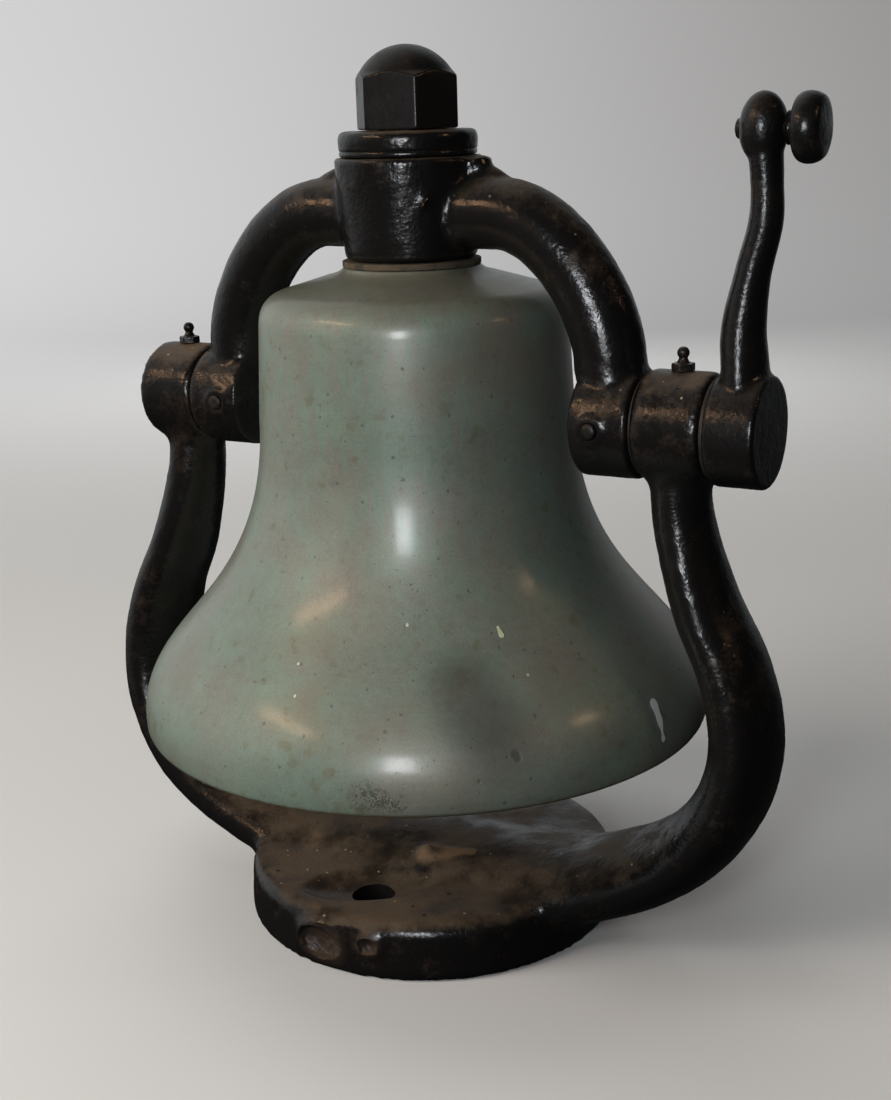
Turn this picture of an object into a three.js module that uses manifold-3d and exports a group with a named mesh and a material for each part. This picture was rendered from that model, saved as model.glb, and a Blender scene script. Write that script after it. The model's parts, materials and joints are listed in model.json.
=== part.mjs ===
// A swinging bronze bell in a cast iron cradle, in millimetres, +Z up.
// X runs along the trunnion axis towards the crank, -Y is the front, and the
// origin is the centre of the foot's underside. The bell hangs in a yoke that
// swings in the stand's two bearings; the clapper swings on a pin inside it.

import * as THREE from 'three';
import { mergeVertices } from 'three/addons/utils/BufferGeometryUtils.js';
import Module from 'manifold-3d';

const wasm = await Module();
wasm.setup();

// ---------------------------------------------------------------- dimensions

const seatGap = 0.3; // between faces that are bolted or pressed together
const runningGap = 0.3; // radial, between a turning shaft and its bush

// Bell
const mouthRadius = 165;
const bellHeight = 258;
const barrelRadius = 89.3;
const barrelWall = 10.5;
const crownWall = 18.5;
const soundBowWall = 27;
const shoulderRadius = 86.6;
const neckRadius = 38.6;
const flareTop = 177; // height above the lip where the flare meets the barrel
const lipWidth = 6;

// Yoke
const yokeRise = 83.5; // trunnion axis to the hub's underside
const hubHeight = 54.7;
const hubRadius = 40.7;
const hubFootRadius = 37;
const gasketThickness = 3.2;
const barrelToBoss = 17.5; // from the bell's barrel to the yoke's bosses
const bossRadius = 29.6;
const yokeBossLength = 33.5;
const archHalfThickness = 19.4;
const archHalfDepth = 20.5;
const archRise = 108; // trunnion axis to the arch's centre line at the hub
const archSpringing = 29; // height where the arch leaves its straight leg
const archShoulder = 54; // distance from the bell's axis where it runs level

// Shafts and bearings
const shaftRadius = 19;
const bushWall = 4;
const bearingLength = 36.5;
const thrustWasherThickness = 1;
const thrustWasherRadius = 27;
const crankWasherThickness = 1.8;
const taperPinRadius = 4.6;
const taperPinTaper = 0.6; // loss of radius from the front end to the back end
const taperPinProud = 2.6;
const nippleShankRadius = 3;
const nippleAcrossFlats = 11.1;

// Crank
const crankBossLength = 26.7;
const crankHeadRise = 149; // trunnion axis to the knob's axis
const crankLean = 6; // how far the head stands outside the boss's middle
const crankHeadRadius = 14;
const crankHeadTall = 18; // half height of the head
const knobStudRadius = 5;
const knobRadius = 17.5;
const keyWidth = 8;
const keyHeight = 7;

// Top fastening
const collarRadius = 38.6;
const collarHeight = 13.6;
const nutAcrossFlats = 50.8;
const nutHexHeight = 29.8;
const nutDomeHeight = 14.4;
const boltRadius = 16;
const crownWasherRadius = 32;
const crownWasherThickness = 4;
const boltFlangeRadius = 26;
const boltFlangeThickness = 10;

// Clapper
const forkDrop = 14; // from the bolt's flange to the pin's axis
const forkWidth = 43;
const forkRadius = 13;
const eyeWidth = 18;
const eyeRadius = 13;
const clapperPinRadius = 6;
const clapperBushWall = 2.3;
const clapperLength = 200; // pin to the ball's centre
const ballRadius = 24;
const tailLength = 15;
const rodRadius = 7.5;
const splitPinRadius = 1.4;

// Stand
const footRadius = 111;
const footHeight = 33;
const footEdge = 9;
const swingClearance = 14.5; // from the lip's sweep to the saddle
const armClearance = 15.3; // from the mouth to the arms at their widest
const armHalfThickness = 18.2; // at the arms' widest point
const armHalfDepth = 34; // at the arms' widest point
const saddleHeight = 44;
const boltHoleRadius = 12.5;
const boltHoleOffset = 68;
const spotFaceRadius = 30;
const spotFaceDepth = 3;

// Numbers of flat sides
const bellSides = 48;
const roundSides = 28;
const smallSides = 20;

// ------------------------------------------------------------ derived places

const crownToTrunnion = yokeRise - gasketThickness - 2 * seatGap;
const lipDrop = bellHeight - crownToTrunnion; // lip below the trunnion axis
const sweepRadius = Math.hypot(mouthRadius, lipDrop);
const trunnionHeight = saddleHeight + swingClearance + sweepRadius;

const yokeBossInner = barrelRadius + barrelToBoss;
const yokeBossOuter = yokeBossInner + yokeBossLength;
const bearingInner = yokeBossOuter + thrustWasherThickness + 2 * seatGap;
const bearingOuter = bearingInner + bearingLength;
const crankInner = bearingOuter + crankWasherThickness + 2 * seatGap;
const crankOuter = crankInner + crankBossLength;
const bearingMiddle = (bearingInner + bearingOuter) / 2;
const crankMiddle = (crankInner + crankOuter) / 2;
const taperPinX = yokeBossInner + 0.4 * yokeBossLength;
const bushRadius = shaftRadius + runningGap + bushWall;

const hubTop = yokeRise + hubHeight;
const collarBottom = hubTop + seatGap;
const nutBottom = collarBottom + collarHeight + seatGap;
const crownInnerZ = crownToTrunnion - crownWall;
const crownWasherBottom = crownInnerZ - seatGap - crownWasherThickness;
const boltFlangeBottom = crownWasherBottom - seatGap - boltFlangeThickness;
const clapperPivotRise = boltFlangeBottom - forkDrop;

// ------------------------------------------------------------------ materials

function material(color, roughness, metalness) {
  return new THREE.MeshStandardMaterial({ color, roughness, metalness });
}

const blackEnamel = material(0x16120f, 0.35, 0.2);
const bellBronze = material(0x6f7f74, 0.4, 0.6);
const bearingBronze = material(0xa9824a, 0.45, 0.9);
const brightSteel = material(0x8a8a88, 0.4, 0.9);
const forgedSteel = material(0x3a3431, 0.6, 0.7);
const fibreGasket = material(0x8a6f4e, 0.9, 0);

// -------------------------------------------------------------------- solids

// A geometry's triangles as a solid with shared corners and outward faces.
function solid(geometry) {
  const bare = geometry.clone();
  bare.deleteAttribute('normal');
  bare.deleteAttribute('uv');
  const merged = mergeVertices(bare, 1e-4);
  const corners = merged.index.array;
  const kept = [];
  for (let i = 0; i < corners.length; i += 3) {
    const [a, b, c] = [corners[i], corners[i + 1], corners[i + 2]];
    if (a !== b && b !== c && c !== a) kept.push(a, b, c);
  }
  const vertProperties = new Float32Array(merged.attributes.position.array);
  const triVerts = new Uint32Array(kept);
  let shape = new wasm.Manifold(new wasm.Mesh({ numProp: 3, vertProperties, triVerts }));
  if (shape.volume() < 0) {
    for (let i = 0; i < triVerts.length; i += 3) {
      [triVerts[i], triVerts[i + 1]] = [triVerts[i + 1], triVerts[i]];
    }
    shape = new wasm.Manifold(new wasm.Mesh({ numProp: 3, vertProperties, triVerts }));
  }
  return shape;
}

function geometryOf(shape) {
  const mesh = shape.getMesh();
  const geometry = new THREE.BufferGeometry();
  geometry.setAttribute('position', new THREE.BufferAttribute(mesh.vertProperties, 3));
  geometry.setIndex(new THREE.BufferAttribute(mesh.triVerts, 1));
  geometry.computeVertexNormals();
  return geometry;
}

function joined(shapes) {
  return shapes.reduce((whole, next) => whole.add(next));
}

function cut(shape, tools) {
  return tools.reduce((rest, tool) => rest.subtract(tool), shape);
}

// Profiles hold [radius, height] pairs. A profile that stays clear of the axis
// closes on its first point, and one that starts and ends on it needs nothing.
function turned(profile, sides = roundSides) {
  const points = profile.map(([r, z]) => new THREE.Vector2(r, z));
  if (points[0].x > 0) points.push(points[0].clone());
  return new THREE.LatheGeometry(points, sides).rotateX(Math.PI / 2);
}

const alongX = new THREE.Matrix4().makeBasis(
  new THREE.Vector3(0, 1, 0), new THREE.Vector3(0, 0, 1), new THREE.Vector3(1, 0, 0));

function turnedAlongX(profile, sides = roundSides) {
  return turned(profile, sides).applyMatrix4(alongX);
}

// A round bar from one height to another, with a chamfer at each end.
function bar(radius, from, to, chamfer = 0) {
  if (chamfer === 0) return [[0, from], [radius, from], [radius, to], [0, to]];
  return [[0, from], [radius - chamfer, from], [radius, from + chamfer],
    [radius, to - chamfer], [radius - chamfer, to], [0, to]];
}

function ring(inner, outer, from, to, chamfer = 0) {
  if (chamfer === 0) return [[inner, from], [outer, from], [outer, to], [inner, to]];
  return [[inner, from], [outer - chamfer, from], [outer, from + chamfer],
    [outer, to - chamfer], [outer - chamfer, to], [inner, to]];
}

// The radius of a hole whose flat sides clear a shaft by the given gap.
function holeRadius(shaft, gap, sides = roundSides) {
  return (shaft + gap) / Math.cos(Math.PI / sides);
}

function box(width, depth, height, x, y, z) {
  return solid(new THREE.BoxGeometry(width, depth, height).translate(x, y, z));
}

// A bar of changing oval section whose centre line lies in the X-Z plane. The
// path gives a point for each share of the way, and halves gives the section's
// half thickness in that plane and its half depth along Y.
function ovalBar(path, halves, steps, sides) {
  const geometry = new THREE.CylinderGeometry(1, 1, 1, sides, steps);
  const position = geometry.attributes.position;
  const corner = new THREE.Vector3();
  for (let i = 0; i < position.count; i += 1) {
    corner.fromBufferAttribute(position, i);
    const share = Math.min(Math.max(corner.y + 0.5, 0), 1);
    const centre = path.getPoint(share);
    const along = path.getTangent(share);
    const [thickness, depth] = halves(share);
    position.setXYZ(i,
      centre.x + corner.x * thickness * along.y,
      corner.z * depth,
      centre.y - corner.x * thickness * along.x);
  }
  return solid(geometry);
}

// Smoothly changing values through equally spaced stations.
function stationValues(stations) {
  const curve = new THREE.SplineCurve(stations.map(([a, b]) => new THREE.Vector2(a, b)));
  return (share) => curve.getPoint(share).toArray();
}

function splinePath(points) {
  return new THREE.SplineCurve(points.map(([x, z]) => new THREE.Vector2(x, z)));
}

function mirrored(geometry) {
  const copy = geometry.clone().scale(-1, 1, 1);
  const index = copy.index.array;
  for (let i = 0; i < index.length; i += 3) {
    [index[i], index[i + 1]] = [index[i + 1], index[i]];
  }
  return copy;
}

function curvePairs(curve, steps) {
  return curve.getPoints(steps).map((point) => [point.x, point.y]);
}

function vec(x, y) {
  return new THREE.Vector2(x, y);
}

// ---------------------------------------------------------------------- bell

// The bell's profile from its lip at height 0 up the outside to the crown and
// down the inside. Both flares are single cubic curves that end upright.
function bellProfile() {
  const waist = barrelRadius;
  const top = bellHeight;
  const lipRound = 8.3;
  const outerFlare = new THREE.CubicBezierCurve(
    vec(mouthRadius, lipRound), vec(mouthRadius, lipRound + 0.3 * (flareTop - lipRound)),
    vec(waist, flareTop - 0.625 * (flareTop - lipRound)), vec(waist, flareTop));
  const shoulder = new THREE.QuadraticBezierCurve(
    vec(shoulderRadius, top - 29.5), vec(shoulderRadius - 0.7, top - 14.5),
    vec(shoulderRadius - 15.6, top - 11.4));
  const neckFillet = new THREE.QuadraticBezierCurve(
    vec(neckRadius + 10, top - 4.8), vec(neckRadius + 1.4, top - 3), vec(neckRadius, top));

  const inside = top - crownWall;
  const innerWaist = waist - barrelWall;
  const innerCorner = new THREE.QuadraticBezierCurve(
    vec(crownWasherRadius + 20, inside - 3), vec(shoulderRadius - 13, inside - 5),
    vec(shoulderRadius - 12, inside - 26));
  const bowInner = mouthRadius - lipWidth - 9;
  const innerFlare = new THREE.CubicBezierCurve(
    vec(innerWaist, flareTop), vec(innerWaist, 0.58 * flareTop),
    vec(mouthRadius - soundBowWall - 4, 20), vec(bowInner, 5));
  return [
    [mouthRadius - 2 - lipWidth, 0],
    [mouthRadius - 2, 0],
    ...curvePairs(outerFlare, 12),
    ...curvePairs(shoulder, 4),
    ...curvePairs(neckFillet, 2),
    [holeRadius(boltRadius, seatGap), top],
    [holeRadius(boltRadius, seatGap), inside],
    [crownWasherRadius + 3, inside],
    ...curvePairs(innerCorner, 3),
    ...curvePairs(innerFlare, 8),
  ];
}

function bellShell() {
  return turned(bellProfile(), bellSides).translate(0, 0, -lipDrop);
}

// ---------------------------------------------------------------------- yoke

function archPath() {
  const bossMiddle = (yokeBossInner + yokeBossOuter) / 2;
  const legX = bossMiddle - 3.9;
  const path = new THREE.CurvePath();
  const bend = new THREE.CubicBezierCurve(
    vec(legX, archSpringing), vec(legX, archSpringing + 0.42 * (archRise - archSpringing)),
    vec(archShoulder + 0.5 * (legX - archShoulder), archRise), vec(archShoulder, archRise));
  path.add(new THREE.LineCurve(vec(bossMiddle, 0), vec(legX, archSpringing)));
  path.add(bend);
  path.add(new THREE.LineCurve(vec(archShoulder, archRise), vec(0, archRise)));
  return path;
}

function yokeCasting() {
  const halves = (share) => {
    const full = Math.min(share / 0.15, 1);
    return [archHalfThickness - 3.4 * (1 - full), archHalfDepth];
  };
  const arch = geometryOf(ovalBar(archPath(), halves, 20, 16));
  const boss = turnedAlongX(bar(bossRadius, yokeBossInner, yokeBossOuter, 2));
  const footRound = 4;
  const hub = turned([
    [0, yokeRise], [hubFootRadius - footRound, yokeRise], [hubFootRadius - 1, yokeRise + 1.2],
    [hubFootRadius, yokeRise + footRound], [hubRadius, hubTop - 4], [hubRadius, hubTop - 1.5],
    [hubRadius - 1.5, hubTop], [0, hubTop]], 32);
  const boltHole = turned(bar(holeRadius(boltRadius, seatGap), yokeRise - 5, hubTop + 5));
  const shaftHole = turnedAlongX(bar(holeRadius(shaftRadius, seatGap), yokeBossInner - 12,
    yokeBossOuter + 5));
  const casting = joined([hub, arch, mirrored(arch), boss, mirrored(boss)].map(solid));
  const holes = [boltHole, shaftHole, mirrored(shaftHole)].map(solid);
  return geometryOf(cut(casting, [...holes, ...taperPinHoles()]));
}

// Holes for both taper pins, wide end at the front.
function taperPinHoles() {
  const half = bossRadius + taperPinProud;
  const front = holeRadius(taperPinRadius, seatGap, smallSides);
  const back = holeRadius(taperPinRadius - taperPinTaper, seatGap, smallSides);
  return [-1, 1].map((side) => solid(
    new THREE.CylinderGeometry(back, front, 2 * half, smallSides).translate(side * taperPinX, 0, 0)));
}

// The pin's front end is a low dome where it was driven.
function taperPinPiece() {
  const half = bossRadius + taperPinProud;
  const back = taperPinRadius - taperPinTaper;
  const profile = [[0, -half], [taperPinRadius - 2, -half], [taperPinRadius - 0.6, -half + 0.8],
    [taperPinRadius, -half + 2], [back, half - 1], [back - 1, half], [0, half]];
  return turned(profile, smallSides).rotateX(-Math.PI / 2);
}

function trunnionShaft(outerEnd) {
  return cut(solid(turnedAlongX(bar(shaftRadius, yokeBossInner + 1, outerEnd, 1.5))),
    taperPinHoles());
}

// The key lies half in the shaft and half in the crank, on the crank's side.
function crankKey() {
  return new THREE.BoxGeometry(crankBossLength - 1, keyWidth, keyHeight)
    .translate(crankMiddle, 0, shaftRadius);
}

function keyway() {
  return box(crankBossLength + 2, keyWidth + 2 * seatGap, keyHeight + 2 * seatGap,
    crankMiddle, 0, shaftRadius);
}

// --------------------------------------------------------------------- crank

function crankArm() {
  const rise = crankHeadRise;
  const headX = crankMiddle + crankLean;
  const path = splinePath([
    [crankMiddle, 0], [crankMiddle - 0.8, 0.2 * rise], [crankMiddle - 2, 0.35 * rise],
    [crankMiddle + 2, 0.53 * rise], [headX + 1.8, 0.69 * rise], [headX + 2.4, 0.82 * rise],
    [headX, rise]]);
  const halves = stationValues([[11.5, 21], [11.5, 18], [11, 14.5], [9, 11.5], [8.5, 10], [8, 9.5],
    [9, 11]]);
  const arm = ovalBar(path, halves, 20, 14);
  const boss = solid(turnedAlongX(bar(bossRadius, crankInner, crankOuter, 1.5)));
  const head = solid(new THREE.SphereGeometry(crankHeadRadius, 20, 12)
    .scale(0.86, 0.95, crankHeadTall / crankHeadRadius).translate(headX, 0, rise));
  const shaftHole = solid(turnedAlongX(bar(holeRadius(shaftRadius, seatGap), crankInner - 5,
    crankOuter + 5)));
  const studHole = solid(turnedAlongX(bar(holeRadius(knobStudRadius, seatGap, smallSides), headX - 30,
    headX + 30), smallSides).translate(0, 0, rise));
  return geometryOf(cut(joined([arm, boss, head]), [shaftHole, studHole, keyway()]));
}

// The stud is riveted over on the crank's inner side.
function crankKnob() {
  const headHalf = 0.86 * crankHeadRadius;
  const neck = headHalf + seatGap + 0.2;
  const profile = [
    [0, -headHalf - 1.8], [knobStudRadius - 1, -headHalf - 1.6], [knobStudRadius, -headHalf - 0.6],
    [knobStudRadius, neck], [8.2, neck], [7.3, neck + 1.5], [7.3, neck + 3],
    [knobRadius - 4, neck + 3.8], [knobRadius - 1, neck + 6.4], [knobRadius, neck + 10],
    [knobRadius - 1, neck + 14], [knobRadius - 4.5, neck + 17], [knobRadius - 9, neck + 18.2],
    [0, neck + 18.6]];
  return turnedAlongX(profile, 24).translate(crankMiddle + crankLean, 0, crankHeadRise);
}

// --------------------------------------------------------------- top fastening

function collarWasher() {
  const top = collarBottom + collarHeight;
  const bore = holeRadius(boltRadius, seatGap);
  return turned([
    [bore, collarBottom], [collarRadius - 0.8, collarBottom], [collarRadius, collarBottom + 0.8],
    [collarRadius - 0.4, collarBottom + 3.4], [collarRadius, top - 6], [collarRadius - 1, top - 3],
    [collarRadius - 3.4, top - 0.8], [collarRadius - 6, top], [bore, top]], 32);
}

function domeNut() {
  const corner = nutAcrossFlats / Math.sqrt(3);
  const hexTop = nutBottom + nutHexHeight;
  const domeTop = hexTop + nutDomeHeight;
  const domeBase = nutAcrossFlats / 2 - 2.4;
  const prism = solid(new THREE.CylinderGeometry(corner, corner, nutHexHeight, 6)
    .rotateX(Math.PI / 2).rotateZ(THREE.MathUtils.degToRad(40.6))
    .translate(0, 0, nutBottom + nutHexHeight / 2));
  const chamferCone = solid(turned([
    [0, nutBottom], [corner - 2, nutBottom], [corner + 0.5, nutBottom + 1.6],
    [corner + 0.5, hexTop - 3.2], [domeBase, hexTop], [0, hexTop]], 36));
  const dome = solid(turned([
    [0, hexTop - 4], [domeBase, hexTop - 4], [domeBase, hexTop],
    ...[18, 36, 54, 72].map((degrees) => {
      const angle = THREE.MathUtils.degToRad(degrees);
      return [domeBase * Math.cos(angle), hexTop + nutDomeHeight * Math.sin(angle)];
    }),
    [0, domeTop]], 36));
  const boltHole = solid(turned(bar(holeRadius(boltRadius, seatGap), nutBottom - 5, hexTop - 1)));
  return geometryOf(prism.intersect(chamferCone).add(dome).subtract(boltHole));
}

// Threaded stem, flange under the crown and the fork that holds the clapper.
function clapperBolt() {
  const stemTop = nutBottom + nutHexHeight - 4;
  const stem = solid(turned(bar(boltRadius, boltFlangeBottom + 2, stemTop, 1.5)));
  const flange = solid(turned(ring(0, boltFlangeRadius, boltFlangeBottom,
    boltFlangeBottom + boltFlangeThickness, 1.2)));
  const forkBlock = box(forkWidth, 2 * forkRadius, forkDrop + 2, 0, 0,
    clapperPivotRise + (forkDrop + 2) / 2);
  const forkEnd = solid(turnedAlongX(bar(forkRadius, -forkWidth / 2, forkWidth / 2, 1))
    .translate(0, 0, clapperPivotRise));
  const slotHeight = forkDrop + forkRadius + 5;
  const slot = box(eyeWidth + 4 * seatGap, 4 * forkRadius, slotHeight, 0, 0,
    boltFlangeBottom - slotHeight / 2);
  const pinHole = solid(turnedAlongX(bar(holeRadius(clapperPinRadius, seatGap, smallSides),
    -forkWidth, forkWidth), smallSides).translate(0, 0, clapperPivotRise));
  return geometryOf(cut(joined([stem, flange, forkBlock, forkEnd]), [slot, pinHole]));
}

function clapperPin() {
  const half = forkWidth / 2;
  const pin = solid(turnedAlongX([
    [0, -half - 5.5], [8, -half - 5.5], [9, -half - 4.5], [9, -half - seatGap],
    [clapperPinRadius, -half - seatGap], [clapperPinRadius, half + 7],
    [clapperPinRadius - 1, half + 8], [0, half + 8]], smallSides));
  const hole = solid(new THREE.CylinderGeometry(splitPinRadius + seatGap, splitPinRadius + seatGap,
    40, 12).translate(half + 4, 0, 0));
  return geometryOf(pin.subtract(hole)).translate(0, 0, clapperPivotRise);
}

// A split pin pushed in from the front, with its eye standing clear.
function clapperSplitPin() {
  const x = forkWidth / 2 + 4;
  const reach = clapperPinRadius + 5;
  const eyeRing = 2.6;
  const stem = solid(new THREE.CylinderGeometry(splitPinRadius, splitPinRadius, 2 * reach, 10)
    .translate(x, 0, 0));
  const eye = solid(new THREE.TorusGeometry(eyeRing, splitPinRadius * 0.8, 8, 16)
    .rotateY(Math.PI / 2).translate(x, -reach - eyeRing + 0.6, 0));
  return geometryOf(stem.add(eye)).translate(0, 0, clapperPivotRise);
}

// Built about its own pin axis.
function clapper() {
  const ballBottom = -clapperLength - ballRadius;
  const arcDegrees = [70, 45, 20, -5, -30, -52];
  const ball = arcDegrees.map((degrees) => {
    const angle = THREE.MathUtils.degToRad(degrees);
    return [ballRadius * Math.cos(angle), -clapperLength + ballRadius * Math.sin(angle)];
  });
  const hangs = solid(turned([
    [0, -eyeRadius + 3], [rodRadius + 0.5, -eyeRadius + 3], [rodRadius, -eyeRadius - 14],
    [rodRadius + 1.5, -clapperLength + ballRadius + 8], ...ball,
    [rodRadius + 3, ballBottom + 1], [rodRadius + 2, ballBottom - tailLength + 4],
    [rodRadius, ballBottom - tailLength], [0, ballBottom - tailLength]], 24));
  const eye = solid(turnedAlongX(bar(eyeRadius, -eyeWidth / 2, eyeWidth / 2, 1.2), 24));
  const bushHole = holeRadius(clapperPinRadius + runningGap + clapperBushWall, seatGap, smallSides);
  const hole = solid(turnedAlongX(bar(bushHole, -eyeWidth, eyeWidth), smallSides));
  return geometryOf(hangs.add(eye).subtract(hole));
}

function clapperBush() {
  const bore = holeRadius(clapperPinRadius, runningGap, smallSides);
  const outer = clapperPinRadius + runningGap + clapperBushWall;
  return turnedAlongX(ring(bore, outer, -eyeWidth / 2, eyeWidth / 2), smallSides);
}

// --------------------------------------------------------------------- stand

// The arms and the saddle over the foot are one bar from bearing to bearing,
// which grows deeper from front to back on its way down.
function standArms() {
  const lipZ = trunnionHeight - lipDrop;
  const belly = mouthRadius + armClearance + armHalfThickness;
  const saddleThickness = armHalfThickness + 2.3;
  const saddle = saddleHeight - saddleThickness;
  const right = [
    [bearingMiddle, trunnionHeight],
    [bearingMiddle + 0.5, trunnionHeight - 45],
    [belly - 24.5, trunnionHeight - 93],
    [belly - 7.5, lipZ + 48],
    [belly, lipZ + 12],
    [belly - 6.5, lipZ - 24],
    [belly - 29, lipZ - 57],
    [belly - 67, saddle + 18],
    [belly - 120, saddle + 1.5],
  ];
  const left = right.map(([x, z]) => [-x, z]).reverse();
  const halves = [
    [-2.2, -15], [-2.7, -13], [-1.7, -6.5], [-0.7, -3.5], [0, 0], [1, 5], [1.8, 10], [2.1, 12],
    [2.3, 13]].map(([more, deeper]) => [armHalfThickness + more, armHalfDepth + deeper]);
  const across = [saddleThickness, armHalfDepth + 13];
  return ovalBar(
    splinePath([...right, [0, saddle], ...left]),
    stationValues([...halves, across, ...halves.slice().reverse()]), 54, 16);
}

function foot() {
  return solid(turned([
    [0, 0], [footRadius - 1, 0], [footRadius, 1.5], [footRadius - 1.5, footHeight - footEdge],
    [footRadius - 3, footHeight - 3.5], [footRadius - 6, footHeight - 1],
    [footRadius - 10, footHeight], [0, footHeight]], 48));
}

function bearingBoss() {
  return turnedAlongX(bar(bossRadius, bearingInner, bearingOuter, 1.5))
    .translate(0, 0, trunnionHeight);
}

function standCasting() {
  const boss = bearingBoss();
  const body = joined([foot(), standArms(), solid(boss), solid(mirrored(boss))]);
  const bushHoles = [-1, 1].map((side) => solid(turnedAlongX(
    bar(holeRadius(bushRadius, seatGap), -bearingLength / 2 - 8, bearingLength / 2 + 8))
    .translate(side * bearingMiddle, 0, trunnionHeight)));
  const nippleHoles = [-1, 1].map((side) => solid(turned(
    [[0, 15], [nippleShankRadius + seatGap, 15], [nippleShankRadius + seatGap, nippleSeat()],
      [nippleAcrossFlats / 2 + 2, nippleSeat()], [nippleAcrossFlats / 2 + 2, bossRadius + 5],
      [0, bossRadius + 5]], 16)
    .translate(side * bearingMiddle, 0, trunnionHeight)));
  const boltHoles = [-1, 1].flatMap((side) => [
    solid(turned(bar(boltHoleRadius, -5, footHeight + 40), 24)
      .translate(0, side * boltHoleOffset, 0)),
    solid(turned(bar(spotFaceRadius, footHeight - spotFaceDepth, footHeight + 1), 28)
      .translate(0, side * boltHoleOffset, 0))]);
  return geometryOf(cut(body, [...bushHoles, ...nippleHoles, ...boltHoles]));
}

function bearingBush() {
  const bore = holeRadius(shaftRadius, runningGap);
  return turnedAlongX(ring(bore, bushRadius, -bearingLength / 2 + 0.5, bearingLength / 2 - 0.5))
    .translate(bearingMiddle, 0, 0);
}

// Height of the small flat that each grease nipple is screwed down on.
function nippleSeat() {
  return bossRadius - 0.8;
}

function greaseNipple() {
  const seat = nippleSeat() + seatGap;
  const shank = solid(turned(bar(nippleShankRadius, bushRadius + 1, seat + 1), 16));
  const corner = nippleAcrossFlats / Math.sqrt(3);
  const hexagon = solid(new THREE.CylinderGeometry(corner, corner, 4.2, 6)
    .rotateX(Math.PI / 2).translate(0, 0, seat + 2.1));
  const stem = solid(turned([
    [0, seat + 4], [3.6, seat + 4], [2.3, seat + 6.2], [2.3, seat + 7.2], [3.25, seat + 8.8],
    [3.25, seat + 10], [2, seat + 11.8], [0, seat + 12.1]], 16));
  return geometryOf(joined([shank, hexagon, stem]));
}

// ------------------------------------------------------------------- assembly

const group = new THREE.Group();
const stand = new THREE.Group();
const bearings = new THREE.Group();
const yoke = new THREE.Group();
const clapperGroup = new THREE.Group();
bearings.position.z = trunnionHeight;
yoke.position.z = trunnionHeight;
clapperGroup.position.z = clapperPivotRise;
group.add(stand, yoke);
stand.add(bearings);
yoke.add(clapperGroup);

function place(parent, name, geometry, look) {
  const mesh = new THREE.Mesh(geometry, look);
  mesh.name = name;
  parent.add(mesh);
  return mesh;
}

place(stand, 'stand_casting', standCasting(), blackEnamel);
place(yoke, 'yoke_casting', yokeCasting(), blackEnamel);
place(yoke, 'bell_shell', bellShell(), bellBronze);
place(yoke, 'crown_gasket', turned(ring(holeRadius(boltRadius, seatGap), neckRadius,
  crownToTrunnion + seatGap, yokeRise - seatGap)), fibreGasket);
place(yoke, 'collar_washer', collarWasher(), blackEnamel);
place(yoke, 'dome_nut', domeNut(), blackEnamel);
place(yoke, 'clapper_bolt', clapperBolt(), forgedSteel);
place(yoke, 'crown_washer', turned(ring(holeRadius(boltRadius, seatGap), crownWasherRadius,
  crownWasherBottom, crownWasherBottom + crownWasherThickness)), forgedSteel);
place(yoke, 'clapper_pin', clapperPin(), brightSteel);
place(yoke, 'clapper_split_pin', clapperSplitPin(), brightSteel);
place(clapperGroup, 'clapper', clapper(), forgedSteel);
place(clapperGroup, 'clapper_bush', clapperBush(), bearingBronze);

const plainShaft = trunnionShaft(bearingOuter - 0.5);
const keyedShaft = trunnionShaft(crankOuter - 0.5).subtract(keyway());
const sides = [['left', -1, plainShaft], ['right', 1, keyedShaft]];
for (const [side, sign, shaft] of sides) {
  const turn = sign < 0 ? Math.PI : 0;
  place(bearings, `${side}_bearing_bush`, bearingBush(), bearingBronze).rotation.z = turn;
  place(bearings, `${side}_grease_nipple`, greaseNipple(), blackEnamel).position.x =
    sign * bearingMiddle;
  const shaftGeometry = geometryOf(shaft);
  place(yoke, `${side}_trunnion_shaft`,
    sign < 0 ? mirrored(shaftGeometry) : shaftGeometry, brightSteel);
  place(yoke, `${side}_taper_pin`, taperPinPiece(), blackEnamel).position.x = sign * taperPinX;
  const washer = ring(holeRadius(shaftRadius, runningGap), thrustWasherRadius,
    yokeBossOuter + seatGap, bearingInner - seatGap);
  place(yoke, `${side}_thrust_washer`, turnedAlongX(washer), brightSteel).rotation.z = turn;
}

place(yoke, 'crank_washer', turnedAlongX(ring(holeRadius(shaftRadius, runningGap),
  thrustWasherRadius, bearingOuter + seatGap, crankInner - seatGap)), brightSteel);
place(yoke, 'crank_arm', crankArm(), blackEnamel);
place(yoke, 'crank_key', crankKey(), brightSteel);
place(yoke, 'crank_knob', crankKnob(), blackEnamel);

export default group;
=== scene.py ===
"""A bronze bell in a cast iron cradle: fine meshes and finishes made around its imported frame."""

import json
import math
from contextlib import contextmanager

import bpy
import numpy as np
from bpy.props import FloatProperty, FloatVectorProperty, IntProperty, PointerProperty
from mathutils import Matrix, Vector

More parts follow.
